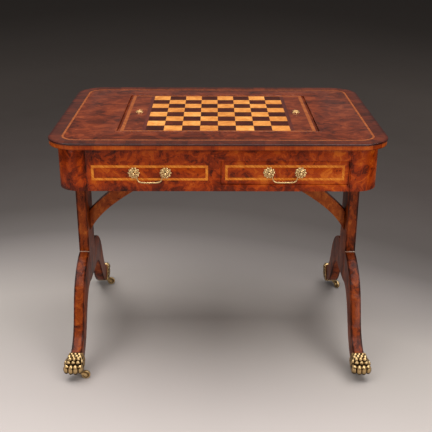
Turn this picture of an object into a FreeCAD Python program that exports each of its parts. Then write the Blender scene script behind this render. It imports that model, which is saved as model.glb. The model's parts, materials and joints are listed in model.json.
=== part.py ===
# Chess table: a banded top with a lift-out chessboard over a backgammon well, a frieze with two
# real and two dummy drawers, and two end supports with sabre legs, brass paws and casters.
# Millimetres. +Z is up, -Y is the front, and the origin is on the floor at the table's centre.
import FreeCAD
import Part
import Sketcher
import math
import os
import re
from FreeCAD import Placement, Rotation, Vector

SIZES = [
    # top
    ("top_length", 950, "length of the top along X"),
    ("top_width", 686, "width of the top along Y"),
    ("table_height", 762, "floor to the top surface"),
    ("top_corner", 85, "plan radius of the top's corners"),
    ("slab_thick", 18, "thickness of the top at its edge"),
    ("nosing_thick", 5, "upper part of the edge, which stands proud"),
    ("nosing_proud", 2, "how far the nosing stands out over the edge band"),
    ("nosing_round", 1.5, "rounding of the top arris"),
    ("band_thick", 3, "crossbanded lipping round the edge"),
    ("stringing_inset", 37, "edge of the top to the stringing"),
    ("stringing_width", 6, "width of the light stringing"),
    ("inlay_depth", 1, "depth of every inlaid line"),
    # recess, board and well
    ("recess_length", 588, "recess in the top along X, over its bead"),
    ("recess_width", 447, "recess in the top along Y, over its bead"),
    ("bead_width", 4, "raised bead that lines the recess"),
    ("bead_proud", 1.5, "how far the bead stands above the top"),
    ("board_gap", 1, "clearance between the board and the bead"),
    ("board_thick", 15, "thickness of the lift-out board"),
    ("board_bevel", 9, "dark bevel along the board's two ends"),
    ("bevel_drop", 4, "how far the bevel falls"),
    ("end_band", 10, "light band at the board's ends"),
    ("side_band", 8, "light band along the board's sides"),
    ("square_side", 52, "side of one square"),
    ("border_width", 11, "border beside the squares"),
    ("ledge_width", 10, "ledge that the board rests on"),
    ("ledge_height", 8, "height of that ledge"),
    ("well_wall", 12, "thickness of the well's walls"),
    ("well_depth", 34, "underside of the board to the well's floor"),
    ("well_floor", 6, "thickness of the well's floor"),
    ("point_length", 180, "length of a backgammon point"),
    ("point_width", 42, "width of a backgammon point at its base"),
    ("point_pitch", 45, "distance between neighbouring points"),
    ("point_thick", 0.8, "thickness of a point's veneer"),
    ("bar_width", 16, "bar across the middle of the well"),
    ("bar_height", 14, "height of that bar"),
    # frieze
    ("frieze_inset", 25, "edge of the top to the frieze"),
    ("frieze_height", 126.5, "underside of the top to the frieze's bottom"),
    ("frieze_thick", 20, "thickness of the frieze boards"),
    ("frieze_corner", 60, "plan radius of the frieze's corners"),
    ("corner_block", 83, "outer side of the frieze to the seam of its corner block"),
    ("seam_size", 1.6, "groove at each seam"),
    # drawers
    ("divider_thick", 14, "middle rail between the drawers"),
    ("drawer_stile", 3, "seam of the corner block to the drawer opening"),
    ("drawer_height", 69, "height of the drawer opening"),
    ("bottom_rail", 19.5, "frieze below the drawer opening"),
    ("drawer_gap", 1, "gap round the drawer front"),
    ("drawer_setback", 3, "how far the drawer front sits behind the frieze"),
    ("drawer_front", 18, "thickness of the drawer front"),
    ("drawer_box", 462, "depth of the drawer behind its front"),
    ("drawer_side", 9, "thickness of the drawer sides and back"),
    ("side_height", 61, "height of the drawer sides"),
    ("drawer_bottom", 5, "thickness of the drawer bottom"),
    ("bottom_raise", 6, "underside of the sides to the drawer bottom"),
    ("groove_depth", 4, "groove that holds the drawer bottom"),
    ("runner_gap", 0.3, "running gap between the sides and the runners"),
    ("runner_width", 23, "width of the runners"),
    ("runner_height", 12, "height of the runners and kickers"),
    ("kicker_lap", 5, "how far a kicker reaches in past the drawer's side"),
    ("guide_thick", 12, "outer guide beside the drawer"),
    ("stop_length", 12, "stop behind the closed drawer"),
    ("inlay_margin", 11.5, "end of the drawer front to its inlaid rectangle"),
    ("dummy_outer", 15, "seam of the corner block to the dummy's inlaid rectangle"),
    ("dummy_inner", 28, "middle of the table to the dummy's inlaid rectangle"),
    ("inlay_height", 44, "height of both inlaid rectangles"),
    ("inlay_width", 7, "width of their lines"),
    # pulls
    ("pull_spread", 88, "distance between the two rosettes of a pull"),
    ("rosette_size", 31, "diameter over the petals"),
    ("rosette_thick", 2.5, "thickness of a rosette"),
    ("petal_size", 8, "diameter of one petal"),
    ("rosette_boss", 17, "diameter of the raised middle of a rosette"),
    ("boss_proud", 1.5, "how far that middle stands above the petals"),
    ("pull_post", 7, "diameter of a post"),
    ("pull_stand", 10, "wood to the bail's pivot"),
    ("pull_head", 11, "diameter of a post's domed head"),
    ("bail_rod", 3.6, "diameter of the bail"),
    ("bail_drop", 24, "pivot to the middle of the grip"),
    ("bail_elbow", 17, "pivot to the elbow of the bail's arms"),
    ("bail_grip", 50, "length of the straight grip"),
    ("bail_bend", 4, "radius of the bail's bends"),
    ("bail_bead", 7, "bead in the middle of the grip"),
    ("pin_play", 0.08, "radial clearance of every hinge pin"),
    # lift rings on the board
    ("lift_centre", 244, "middle of the board to a lift ring"),
    ("lift_plate", 24, "width of a lift ring's plate"),
    ("plate_length", 32, "length of that plate"),
    ("plate_thick", 1.2, "thickness of that plate"),
    ("ring_wire", 2.6, "diameter of the ring's wire"),
    ("ring_width", 18, "width of the ring along its hinge"),
    ("staple_width", 5.2, "width of the staple that holds the ring"),
    ("staple_rise", 4.4, "how far that staple stands above its plate"),
    # end supports
    ("post_inset", 0, "outer side of the frieze to the post"),
    ("post_thick", 33, "thickness of post and legs along X"),
    ("post_depth", 108, "depth of the post along Y"),
    ("hip_height", 309, "where the leg leaves the post"),
    ("thigh_out", 80, "side of the post to the thigh"),
    ("thigh_height", 284, "height of the thigh"),
    ("knee_back", 161, "toes back to the knee"),
    ("knee_height", 238, "height of the knee"),
    ("shin_back", 121, "toes back to the shin"),
    ("shin_height", 158, "height of the shin"),
    ("ankle_back", 40, "toes back to the ankle's front"),
    ("ankle_height", 85, "height of the ankle's front"),
    ("ankle_depth", 56, "depth of the leg at the ankle"),
    ("foot_slope", 37, "slope of the foot, in degrees"),
    ("tenon_depth", 12, "leg inside the paw"),
    ("arch_height", 205, "floor to the arch between the legs"),
    ("arch_out", 51, "side of the post to the arch's shoulder"),
    ("arch_fall", 2, "how far the arch has fallen at its shoulder"),
    ("calf_back", 194, "toes back to the rear of the calf"),
    ("calf_height", 160, "height of the rear of the calf"),
    ("shank_back", 162, "toes back to the rear of the shank"),
    ("shank_height", 114, "height of the rear of the shank"),
    ("bearer_length", 240, "bearer that the post is screwed to"),
    ("bearer_height", 27, "height of that bearer"),
    # braces
    ("brace_thick", 30, "thickness of a brace along Y"),
    ("brace_low", 368, "lower edge of the brace at the post"),
    ("brace_high", 436, "upper edge of the brace at the post"),
    ("brace_middle", 77, "post to the brace's middle point"),
    ("middle_low", 457, "lower edge of the brace at its middle point"),
    ("middle_high", 507, "upper edge of the brace at its middle point"),
    ("brace_bend", 137, "post to where the brace begins to run straight"),
    ("bend_low", 499, "lower edge of the brace there"),
    ("bend_high", 552, "upper edge of the brace there"),
    ("brace_foot", 130, "middle of the table to the brace's lower edge, at the top"),
    ("brace_footprint", 70, "length of the brace's end against its batten"),
    ("batten_width", 90, "batten that carries the brace"),
    ("batten_height", 8, "height of that batten"),
    # paws
    ("paw_wall", 4, "brass round the leg"),
    ("paw_width", 57, "width over the toes"),
    ("paw_shift", 7, "how far the toes stand outward of the leg's middle"),
    ("toe_reach", 350, "middle of the table to the toes"),
    ("toe_height", 50, "height of the toes' knuckles"),
    ("toe_size", 15, "thickness of one toe"),
    ("toe_setback", 5, "how far the outer toes stand back"),
    ("knuckle_back", 17, "toes back to the paw's knuckles"),
    ("knuckle_height", 76, "height of the knuckles"),
    ("sole_height", 29, "floor to the underside of the paw"),
    ("sole_length", 62, "toes back to the rear of the sole"),
    # casters
    ("caster_back", 32, "toes back to the caster's stem"),
    ("stem_size", 8, "diameter of the stem"),
    ("stem_top", 56, "floor to the top of the stem"),
    ("stem_play", 0.05, "radial clearance of the stem and the axle"),
    ("fork_plate", 18, "diameter of the plate under the stem"),
    ("fork_low", 22, "floor to the underside of the plate"),
    ("fork_high", 26, "floor to the top of the plate"),
    ("caster_trail", 34, "stem to the axle"),
    ("wheel_size", 28, "diameter of a wheel"),
    ("wheel_width", 9, "width of a wheel"),
    ("wheel_dish", 0.8, "depth of the ring turned into each side"),
    ("cheek_gap", 0.6, "wheel to cheek"),
    ("cheek_thick", 2.5, "thickness of a cheek"),
    ("cheek_boss", 9.6, "diameter of a cheek round the axle"),
    ("cheek_root", 2, "front of the wheel to the upper end of a cheek"),
    ("bridge_gap", 1.5, "bridge between the cheeks to the wheel"),
    ("axle_size", 4, "diameter of the axle"),
    ("swung_caster", 57, "degrees that the two right-hand casters are turned"),
]

BOARD_SQUARES = 8
POINTS_PER_FIELD = 6
PETALS = 10
TOES = 4
TOE_FAN = 0.7    # the toes' spacing at the knuckles, as a share of their spacing at the front
PAW_TAPER = 0.9  # the paw's width at the front, as a share of its widest
CHEEK_ANGLE = 37  # degrees above the axle at which a caster's cheek meets its boss

doc = FreeCAD.newDocument("ChessTable")
sheet = doc.addObject("Spreadsheet::Sheet", "Sizes")
for row, (alias, number, note) in enumerate(SIZES, start=1):
    sheet.set("A%d" % row, alias.replace("_", " "))
    sheet.set("B%d" % row, str(number))
    sheet.set("C%d" % row, note)
    sheet.setAlias("B%d" % row, alias)
doc.recompute()

# Places that several pieces share, as expressions of the sizes.
TOP_X = "(top_length / 2)"
TOP_Y = "(top_width / 2)"
FRIEZE_X = "(top_length / 2 - frieze_inset)"
FRIEZE_Y = "(top_width / 2 - frieze_inset)"
INSIDE_X = "(top_length / 2 - frieze_inset - frieze_thick)"
INSIDE_Y = "(top_width / 2 - frieze_inset - frieze_thick)"
SLAB_LOW = "(table_height - slab_thick)"
NOSING_LOW = "(table_height - nosing_thick)"
EDGE_IN = "(nosing_proud + band_thick)"
FRIEZE_LOW = "(table_height - slab_thick - frieze_height)"
HOLE_X = "(recess_length / 2 - bead_width)"
HOLE_Y = "(recess_width / 2 - bead_width)"
BOARD_X = "(recess_length / 2 - bead_width - board_gap)"
BOARD_Y = "(recess_width / 2 - bead_width - board_gap)"
BOARD_LOW = "(table_height - board_thick)"
SQUARES = "(4 * square_side)"
WELL_TOP = "(table_height - board_thick - well_depth)"
WELL_LOW = "(table_height - board_thick - well_depth - well_floor)"
INLAID = "(table_height - inlay_depth)"
OPENING_LOW = "(table_height - slab_thick - frieze_height + bottom_rail)"
OPENING_HIGH = "(table_height - slab_thick - frieze_height + bottom_rail + drawer_height)"
OPENING_NEAR = "(divider_thick / 2)"
OPENING_FAR = "(top_length / 2 - frieze_inset - corner_block - drawer_stile)"
OPENING_MIDDLE = "((divider_thick / 2 + top_length / 2 - frieze_inset - corner_block - drawer_stile) / 2)"
DRAWER_INLAY = "(%s - %s - 2 * drawer_gap - 2 * inlay_margin)" % (OPENING_FAR, OPENING_NEAR)
DUMMY_FAR = "(top_length / 2 - frieze_inset - corner_block - dummy_outer)"
DUMMY_MIDDLE = "((%s + dummy_inner) / 2)" % DUMMY_FAR
DUMMY_INLAY = "(%s - dummy_inner)" % DUMMY_FAR
FACE_Y = "(-(top_width / 2 - frieze_inset) + drawer_setback)"
BOX_NEAR = "(-(top_width / 2 - frieze_inset) + drawer_setback + drawer_front)"
BOX_FAR = "(-(top_width / 2 - frieze_inset) + drawer_setback + drawer_front + drawer_box)"
SIDE_LOW = "(table_height - slab_thick - frieze_height + bottom_rail + runner_gap)"
POST_OUT = "(top_length / 2 - frieze_inset - post_inset)"
POST_IN = "(top_length / 2 - frieze_inset - post_inset - post_thick)"
LEG_MIDDLE = "(top_length / 2 - frieze_inset - post_inset - post_thick / 2)"
STEM_X = "(top_length / 2 - frieze_inset - post_inset - post_thick / 2 + paw_shift)"
PULL_HEIGHT = "(table_height - slab_thick - frieze_height + bottom_rail + drawer_height / 2)"

pieces = []


def bound(text):
    """The expression with each size's name prefixed by the sheet's, as other objects need it."""
    return re.sub(r"[a-z]+(?:_[a-z]+)+", lambda match: "Sizes." + match.group(0), text)


def value(text):
    return float(sheet.evalExpression(text))


def minus(pair):
    """A (low, high) pair of expressions on the other side of the middle."""
    low, high = pair
    return ("-(%s)" % high, "-(%s)" % low)


def about(middle, width):
    """The (low, high) pair of a width about a middle."""
    return ("%s - (%s) / 2" % (middle, width), "%s + (%s) / 2" % (middle, width))


def piece(shape_object, label):
    """Mark a finished sub-part: its label names its node."""
    shape_object.Label = label
    pieces.append(shape_object)
    return shape_object


# ---------------------------------------------------------------- small building blocks

def box(name, x, y, z, turned=False):
    """A box between (low, high) pairs of expressions; turned puts it on the far side of the table."""
    if turned:
        x, y = minus(x), minus(y)
    solid = doc.addObject("Part::Box", name)
    for side, (low, high) in zip(("Length", "Width", "Height"), (x, y, z)):
        solid.setExpression(side, bound("(%s) - (%s)" % (high, low)))
    for axis, (low, _) in zip("xyz", (x, y, z)):
        solid.setExpression("Placement.Base." + axis, bound(low))
    return solid


def cylinder(name, radius, length, base, rotation=None):
    """A cylinder of two expressions with its base at three more; it stands on Z unless rotated."""
    solid = doc.addObject("Part::Cylinder", name)
    solid.setExpression("Radius", bound(radius))
    solid.setExpression("Height", bound(length))
    if rotation is not None:
        solid.Placement = Placement(Vector(), rotation)
    for axis, place in zip("xyz", base):
        solid.setExpression("Placement.Base." + axis, bound(place))
    return solid


def cut(name, base, *tools):
    result = doc.addObject("Part::Cut", name)
    result.Base = base
    result.Tool = tools[0] if len(tools) == 1 else fuse(name + "_tools", *tools)
    return result


def fuse(name, *solids):
    result = doc.addObject("Part::MultiFuse", name)
    result.Shapes = list(solids)
    return result


def common(name, first, second):
    result = doc.addObject("Part::Common", name)
    result.Base = first
    result.Tool = second
    return result


def group(name, *solids):
    """Separate solids that share one node."""
    result = doc.addObject("Part::Compound", name)
    result.Links = list(solids)
    return result


def mirrored(name, source, normal):
    """The source on the other side of the table's middle plane with this normal."""
    result = doc.addObject("Part::Mirroring", name)
    result.Source = source
    result.Normal = normal
    return result


def feature(name, shape, placement=None):
    """A shape made with Part's own functions, placed after its shape is set."""
    result = doc.addObject("Part::Feature", name)
    result.Shape = shape
    if placement is not None:
        result.Placement = placement
    return result


def sketch_in(body, name, role):
    """A sketch on one of the body's own origin planes."""
    sketch = body.newObject("Sketcher::SketchObject", name)
    plane = [part for part in body.Origin.OriginFeatures if part.Role == role][0]
    sketch.AttachmentSupport = [(plane, "")]
    sketch.MapMode = "FlatFace"
    return sketch


def dimension(sketch, kind, expression, *geometry):
    """A dimensional constraint whose value is an expression of the sizes."""
    index = sketch.addConstraint(Sketcher.Constraint(kind, *geometry, value(expression)))
    sketch.setExpression("Constraints[%d]" % index, bound(expression))


def rounded_rectangle(sketch, half_x, half_y, radius):
    """Four lines and four tangent arcs, held by the two half lengths and the corner radius."""
    x, y, r = value(half_x), value(half_y), value(radius)
    first = sketch.GeometryCount
    corners = [(x, -y, -90), (x, y, 0), (-x, y, 90), (-x, -y, 180)]
    lines = [((-x + r, -y), (x - r, -y)), ((x, -y + r), (x, y - r)),
             ((x - r, y), (-x + r, y)), ((-x, y - r), (-x, -y + r))]
    for (start, end), (corner_x, corner_y, angle) in zip(lines, corners):
        sketch.addGeometry(Part.LineSegment(Vector(*start, 0), Vector(*end, 0)))
        centre = Vector(corner_x - math.copysign(r, corner_x), corner_y - math.copysign(r, corner_y), 0)
        circle = Part.Circle(centre, Vector(0, 0, 1), r)
        sketch.addGeometry(Part.ArcOfCircle(circle, math.radians(angle), math.radians(angle + 90)))
    for index in range(8):
        following = first + (index + 1) % 8
        sketch.addConstraint(Sketcher.Constraint("Tangent", first + index, 2, following, 1))
    for index in (0, 4):
        sketch.addConstraint(Sketcher.Constraint("Horizontal", first + index))
    for index in (2, 6):
        sketch.addConstraint(Sketcher.Constraint("Vertical", first + index))
    for index in (3, 5, 7):
        sketch.addConstraint(Sketcher.Constraint("Equal", first + 1, first + index))
    dimension(sketch, "Radius", radius, first + 1)
    dimension(sketch, "DistanceX", half_x, -1, 1, first + 2, 1)
    dimension(sketch, "DistanceX", half_x, first + 6, 1, -1, 1)
    dimension(sketch, "DistanceY", half_y, -1, 1, first + 4, 1)
    dimension(sketch, "DistanceY", half_y, first, 1, -1, 1)


def polygon(sketch, points):
    """A closed polygon with each corner held by a pair of expressions."""
    first = sketch.GeometryCount
    places = [Vector(value(x), value(y), 0) for x, y in points]
    count = len(points)
    for index in range(count):
        sketch.addGeometry(Part.LineSegment(places[index], places[(index + 1) % count]))
    for index in range(count):
        following = first + (index + 1) % count
        sketch.addConstraint(Sketcher.Constraint("Coincident", first + index, 2, following, 1))
    for index, (x, y) in enumerate(points):
        dimension(sketch, "DistanceX", x, -1, 1, first + index, 1)
        dimension(sketch, "DistanceY", y, -1, 1, first + index, 1)


def pad(body, name, sketch, length):
    result = body.newObject("PartDesign::Pad", name)
    result.Profile = sketch
    result.setExpression("Length", bound(length))
    return result


def plate(name, loops, low, high):
    """A body: rounded rectangles about the Z axis, (half x, half y, radius), padded from low to high."""
    body = doc.addObject("PartDesign::Body", name)
    sketch = sketch_in(body, name + "_plan", "XY_Plane")
    for loop in loops:
        rounded_rectangle(sketch, *loop)
    pad(body, name + "_pad", sketch, "(%s) - (%s)" % (high, low))
    body.setExpression("Placement.Base.z", bound(low))
    return body


def inset_loop(inset):
    """The top's outline moved in by an expression, with its corners still concentric."""
    return ("%s - (%s)" % (TOP_X, inset), "%s - (%s)" % (TOP_Y, inset), "top_corner - (%s)" % inset)


# ---------------------------------------------------------------- top

def make_top():
    """The slab: a proud nosing over a banded edge, cut for the recess and the stringing."""
    outer = inset_loop("0")
    nosing = plate("nosing", [outer], NOSING_LOW, "table_height")
    doc.recompute()
    padded = nosing.Tip
    rounding = nosing.newObject("PartDesign::Fillet", "nosing_fillet")
    top_edges = [
        "Edge%d" % number
        for number, edge in enumerate(nosing.Shape.Edges, start=1)
        if abs(edge.BoundBox.ZMin - value("table_height")) < 0.01
    ]
    rounding.Base = (padded, top_edges)
    rounding.setExpression("Radius", bound("nosing_round"))
    nosing.Tip = rounding
    core = plate("slab_core", [inset_loop(EDGE_IN)], SLAB_LOW, NOSING_LOW)
    recess = box("recess_cut", about("0", "recess_length"), about("0", "recess_width"),
                 ("table_height - 2 * slab_thick", "table_height + slab_thick"))
    stringing = plate("top_stringing", [
        inset_loop("stringing_inset"), inset_loop("stringing_inset + stringing_width")],
        INLAID, "table_height")
    slab = fuse("slab", nosing, core)
    piece(cut("top_slab", slab, recess, stringing), "top_slab")
    piece(stringing, "top_stringing")
    band = plate("edge_band", [inset_loop("nosing_proud"), inset_loop(EDGE_IN)], SLAB_LOW, NOSING_LOW)
    piece(band, "top_edge_band")
    bead_outer = box("bead_outer", about("0", "recess_length"), about("0", "recess_width"),
                     (SLAB_LOW, "table_height + bead_proud"))
    bead_inner = box("bead_inner", ("-" + HOLE_X, HOLE_X), ("-" + HOLE_Y, HOLE_Y),
                     ("table_height - 2 * slab_thick", "table_height + slab_thick"))
    piece(cut("recess_bead", bead_outer, bead_inner), "recess_bead")


# ---------------------------------------------------------------- lift-out board

def make_board():
    """The board: a core with bevelled ends, and veneers let into its face."""
    body = doc.addObject("PartDesign::Body", "board_blank")
    sketch = sketch_in(body, "board_section", "XZ_Plane")
    flat = "%s - board_bevel" % BOARD_X
    polygon(sketch, [
        ("-" + BOARD_X, BOARD_LOW), (BOARD_X, BOARD_LOW), (BOARD_X, "table_height - bevel_drop"),
        (flat, "table_height"), ("-(%s)" % flat, "table_height"),
        ("-" + BOARD_X, "table_height - bevel_drop")])
    blank_pad = pad(body, "board_pad", sketch, "2 * " + BOARD_Y)
    blank_pad.Midplane = True
    sides = ("-" + SQUARES, SQUARES)
    veneer = (INLAID, "table_height")
    band_x = "%s - end_band" % flat
    squares_hole = box("squares_hole", sides, sides, veneer)
    border_out = "%s + border_width" % SQUARES
    border_cuts = [box("border_%s" % side, x, sides, veneer) for side, x in (
        ("right", (SQUARES, border_out)), ("left", minus((SQUARES, border_out))))]
    band_y = "%s + side_band" % SQUARES
    band_outer = box("band_outer", ("-(%s)" % flat, flat), ("-(%s)" % band_y, band_y), veneer)
    band_inner = box("band_inner", ("-(%s)" % band_x, band_x), sides, veneer)
    band = cut("board_band", band_outer, band_inner)
    core = cut("board_core", body, squares_hole, *border_cuts, band)
    piece(core, "board_core")
    piece(band, "board_band")
    piece(group("board_borders", *border_cuts), "board_borders")
    for light in (True, False):
        name = "light_squares" if light else "dark_squares"
        squares = []
        for column in range(BOARD_SQUARES):
            for line in range(BOARD_SQUARES):
                if ((column + line) % 2 == 1) == light:
                    squares.append(box(
                        "%s_%d%d" % (name, column, line),
                        ("(%d) * square_side" % (column - 4), "(%d) * square_side" % (column - 3)),
                        ("(%d) * square_side" % (line - 4), "(%d) * square_side" % (line - 3)), veneer))
        piece(group(name, *squares), name)


def ring_shape(half, depth, wire):
    """A D-shaped ring in the XY plane: a straight hinge bar on the Y axis and a bow towards +X."""
    bar_end, bar_start = Vector(0, half, 0), Vector(0, -half, 0)
    bow = Part.Arc(bar_end, Vector(depth, 0, 0), bar_start).toShape()
    bar = Part.LineSegment(bar_start, bar_end).toShape()
    section = Part.Wire(Part.Circle(Vector(), Vector(0, 1, 0), wire / 2).toShape())
    bar_solid = Part.Wire([bar]).makePipeShell([section], True, False)
    direction = bow.tangentAt(bow.FirstParameter)
    bow_section = Part.Wire(Part.Circle(bar_end, direction, wire / 2).toShape())
    bow_solid = Part.Wire([bow]).makePipeShell([bow_section], True, False)
    knuckles = [Part.makeSphere(wire / 2, corner) for corner in (bar_end, bar_start)]
    return bar_solid.multiFuse([bow_solid] + knuckles).removeSplitter()


def make_lift_rings():
    """A brass plate, a staple and a D-ring at each end of the board."""
    wire = value("ring_wire")
    axis_height = value("table_height + plate_thick + ring_wire / 2 + pin_play")
    ring = ring_shape(value("ring_width / 2"), value("ring_width - ring_wire"), wire)
    plates = []
    for side, turn in (("right", 0), ("left", 180)):
        facing = Rotation(Vector(0, 0, 1), turn)
        sign = 1 if turn == 0 else -1
        hinge_x = sign * value("lift_centre - ring_width / 2 + ring_wire / 2")
        hinge = Vector(hinge_x, 0, axis_height)
        piece(feature("lift_ring_" + side, ring, Placement(hinge, facing)), "lift_ring_" + side)
        name = "lift_plate_" + side
        middle = "lift_centre" if sign > 0 else "-lift_centre"
        foot = box(name + "_foot", about(middle, "lift_plate"), about("0", "plate_length"),
                   ("table_height", "table_height + plate_thick"))
        hinge_text = "%s - (%d) * (ring_width / 2 - ring_wire / 2)" % (middle, sign)
        staple = box(name + "_staple", about(hinge_text, "staple_width"), about("0", "staple_width"),
                     ("table_height + plate_thick / 2", "table_height + plate_thick + staple_rise"))
        eye = cylinder(name + "_eye", "ring_wire / 2 + pin_play", "ring_width",
                       (hinge_text, "-ring_width / 2",
                        "table_height + plate_thick + ring_wire / 2 + pin_play"),
                       Rotation(Vector(1, 0, 0), -90))
        plates.append(cut(name, fuse(name + "_body", foot, staple), eye))
    piece(group("lift_plates", *plates), "lift_plates")


# ---------------------------------------------------------------- well

def make_well():
    """Walls, floor, ledges, bar and the veneered points of the backgammon well."""
    wall_x = (HOLE_X, "%s + well_wall" % HOLE_X)
    wall_y = (HOLE_Y, "%s + well_wall" % HOLE_Y)
    hole_y = ("-" + HOLE_Y, HOLE_Y)
    over_x = ("-(%s)" % wall_x[1], wall_x[1])
    wall_z = (WELL_TOP, SLAB_LOW)
    walls = [
        box("wall_right", wall_x, hole_y, wall_z), box("wall_left", minus(wall_x), hole_y, wall_z),
        box("wall_back", over_x, wall_y, wall_z), box("wall_front", over_x, minus(wall_y), wall_z)]
    piece(group("well_walls", *walls), "well_walls")
    over_y = ("-(%s)" % wall_y[1], wall_y[1])
    piece(box("well_floor", over_x, over_y, (WELL_LOW, WELL_TOP)), "well_floor")
    ledge_x = ("%s - ledge_width" % HOLE_X, HOLE_X)
    ledge_y = ("%s - ledge_width" % HOLE_Y, HOLE_Y)
    ledge_z = ("%s - ledge_height" % BOARD_LOW, BOARD_LOW)
    hole_x = ("-" + HOLE_X, HOLE_X)
    between = ("-(%s)" % ledge_y[0], ledge_y[0])
    ledges = [
        box("ledge_right", ledge_x, between, ledge_z), box("ledge_left", minus(ledge_x), between, ledge_z),
        box("ledge_back", hole_x, ledge_y, ledge_z), box("ledge_front", hole_x, minus(ledge_y), ledge_z)]
    piece(group("board_ledges", *ledges), "board_ledges")
    bar_z = (WELL_TOP, WELL_TOP + " + bar_height")
    piece(box("well_bar", about("0", "bar_width"), hole_y, bar_z), "well_bar")
    make_points()


def make_points():
    """Tapered veneers on the well's floor, light and dark in turn."""
    floor = value(WELL_TOP)
    start = value("bar_width / 2 + (%s - bar_width / 2) / 2" % HOLE_X)
    pitch = value("point_pitch")
    base, length = value(HOLE_Y), value("point_length")
    half = value("point_width / 2")
    points = {"light_points": [], "dark_points": []}
    for field in (-1, 1):
        for index in range(POINTS_PER_FIELD):
            x = field * start + (index - (POINTS_PER_FIELD - 1) / 2) * pitch
            for side in (-1, 1):
                light = (index + (side > 0)) % 2 == 0
                corners = [Vector(x - half, side * base, floor), Vector(x + half, side * base, floor),
                           Vector(x, side * (base - length), floor)]
                face = Part.Face(Part.makePolygon(corners + corners[:1]))
                name = "light_points" if light else "dark_points"
                points[name].append(face.extrude(Vector(0, 0, value("point_thick"))))
    for name, solids in points.items():
        piece(feature(name, Part.makeCompound(solids)), name)


# ---------------------------------------------------------------- frieze

def make_frieze():
    """Corner blocks cut from one rounded ring, and the boards between them."""
    ring = plate("frieze_ring", [
        (FRIEZE_X, FRIEZE_Y, "frieze_corner"), (INSIDE_X, INSIDE_Y, "frieze_corner - frieze_thick")],
        FRIEZE_LOW, SLAB_LOW)
    height = (FRIEZE_LOW, SLAB_LOW)
    seam_x, seam_y = "(%s - corner_block)" % FRIEZE_X, "(%s - corner_block)" % FRIEZE_Y
    far_x, far_y = (seam_x, "%s + frieze_thick" % FRIEZE_X), (seam_y, "%s + frieze_thick" % FRIEZE_Y)
    grooves = seam_grooves(seam_x, seam_y)
    blocks = []
    for side_x, span_x in (("right", far_x), ("left", minus(far_x))):
        for side_y, span_y in (("back", far_y), ("front", minus(far_y))):
            name = "corner_%s_%s" % (side_y, side_x)
            corner = common(name + "_ring", ring, box(name + "_zone", span_x, span_y, height))
            blocks.append(cut(name, corner, grooves))
    piece(group("corner_blocks", *blocks), "corner_blocks")
    sides = []
    for side, span in (("right", (INSIDE_X, FRIEZE_X)), ("left", minus((INSIDE_X, FRIEZE_X)))):
        board = box("side_board_" + side, span, ("-" + seam_y, seam_y), height)
        sides.append(cut("side_apron_" + side, board, grooves))
    piece(group("side_aprons", *sides), "side_aprons")
    inlays = []
    for name, turned in (("front", False), ("back", True)):
        board = box("board_" + name, ("-" + seam_x, seam_x), minus((INSIDE_Y, FRIEZE_Y)), height, turned)
        opening = box("opening_" + name, (OPENING_NEAR, OPENING_FAR),
                      ("-(%s + frieze_thick)" % FRIEZE_Y, "-(%s - frieze_thick)" % INSIDE_Y),
                      (OPENING_LOW, OPENING_HIGH), turned)
        inlay = inlaid_rectangle("dummy_inlay_" + name, "-" + DUMMY_MIDDLE, DUMMY_INLAY,
                                 "-" + FRIEZE_Y, turned)
        inlays.append(inlay)
        piece(cut("apron_" + name, board, opening, grooves, inlay), "apron_" + name)
    piece(group("dummy_inlays", *inlays), "dummy_inlays")


def seam_grooves(seam_x, seam_y):
    """The fine upright grooves where boards and corner blocks meet."""
    height = ("%s - seam_size" % FRIEZE_LOW, "%s + seam_size" % SLAB_LOW)
    grooves = []
    for sign in ("", "-"):
        for out in ("", "-"):
            across_x, face_y = about(sign + seam_x, "seam_size"), about(out + FRIEZE_Y, "2 * seam_size")
            grooves.append(box("seam_x", across_x, face_y, height))
            across_y, face_x = about(sign + seam_y, "seam_size"), about(out + FRIEZE_X, "2 * seam_size")
            grooves.append(box("seam_y", face_x, across_y, height))
    return fuse("seam_grooves", *grooves)


def inlaid_rectangle(name, middle, length, face_y, turned):
    """Four lines of light wood let into a face at Y, as one frame."""
    depth = (face_y, "%s + inlay_depth" % face_y)
    through = ("%s - inlay_depth" % face_y, "%s + 2 * inlay_depth" % face_y)
    outer = box(name + "_outer", about(middle, length), depth, about(PULL_HEIGHT, "inlay_height"), turned)
    inner = box(name + "_inner", about(middle, length + " - 2 * inlay_width"), through,
                about(PULL_HEIGHT, "inlay_height - 2 * inlay_width"), turned)
    return cut(name, outer, inner)


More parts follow.
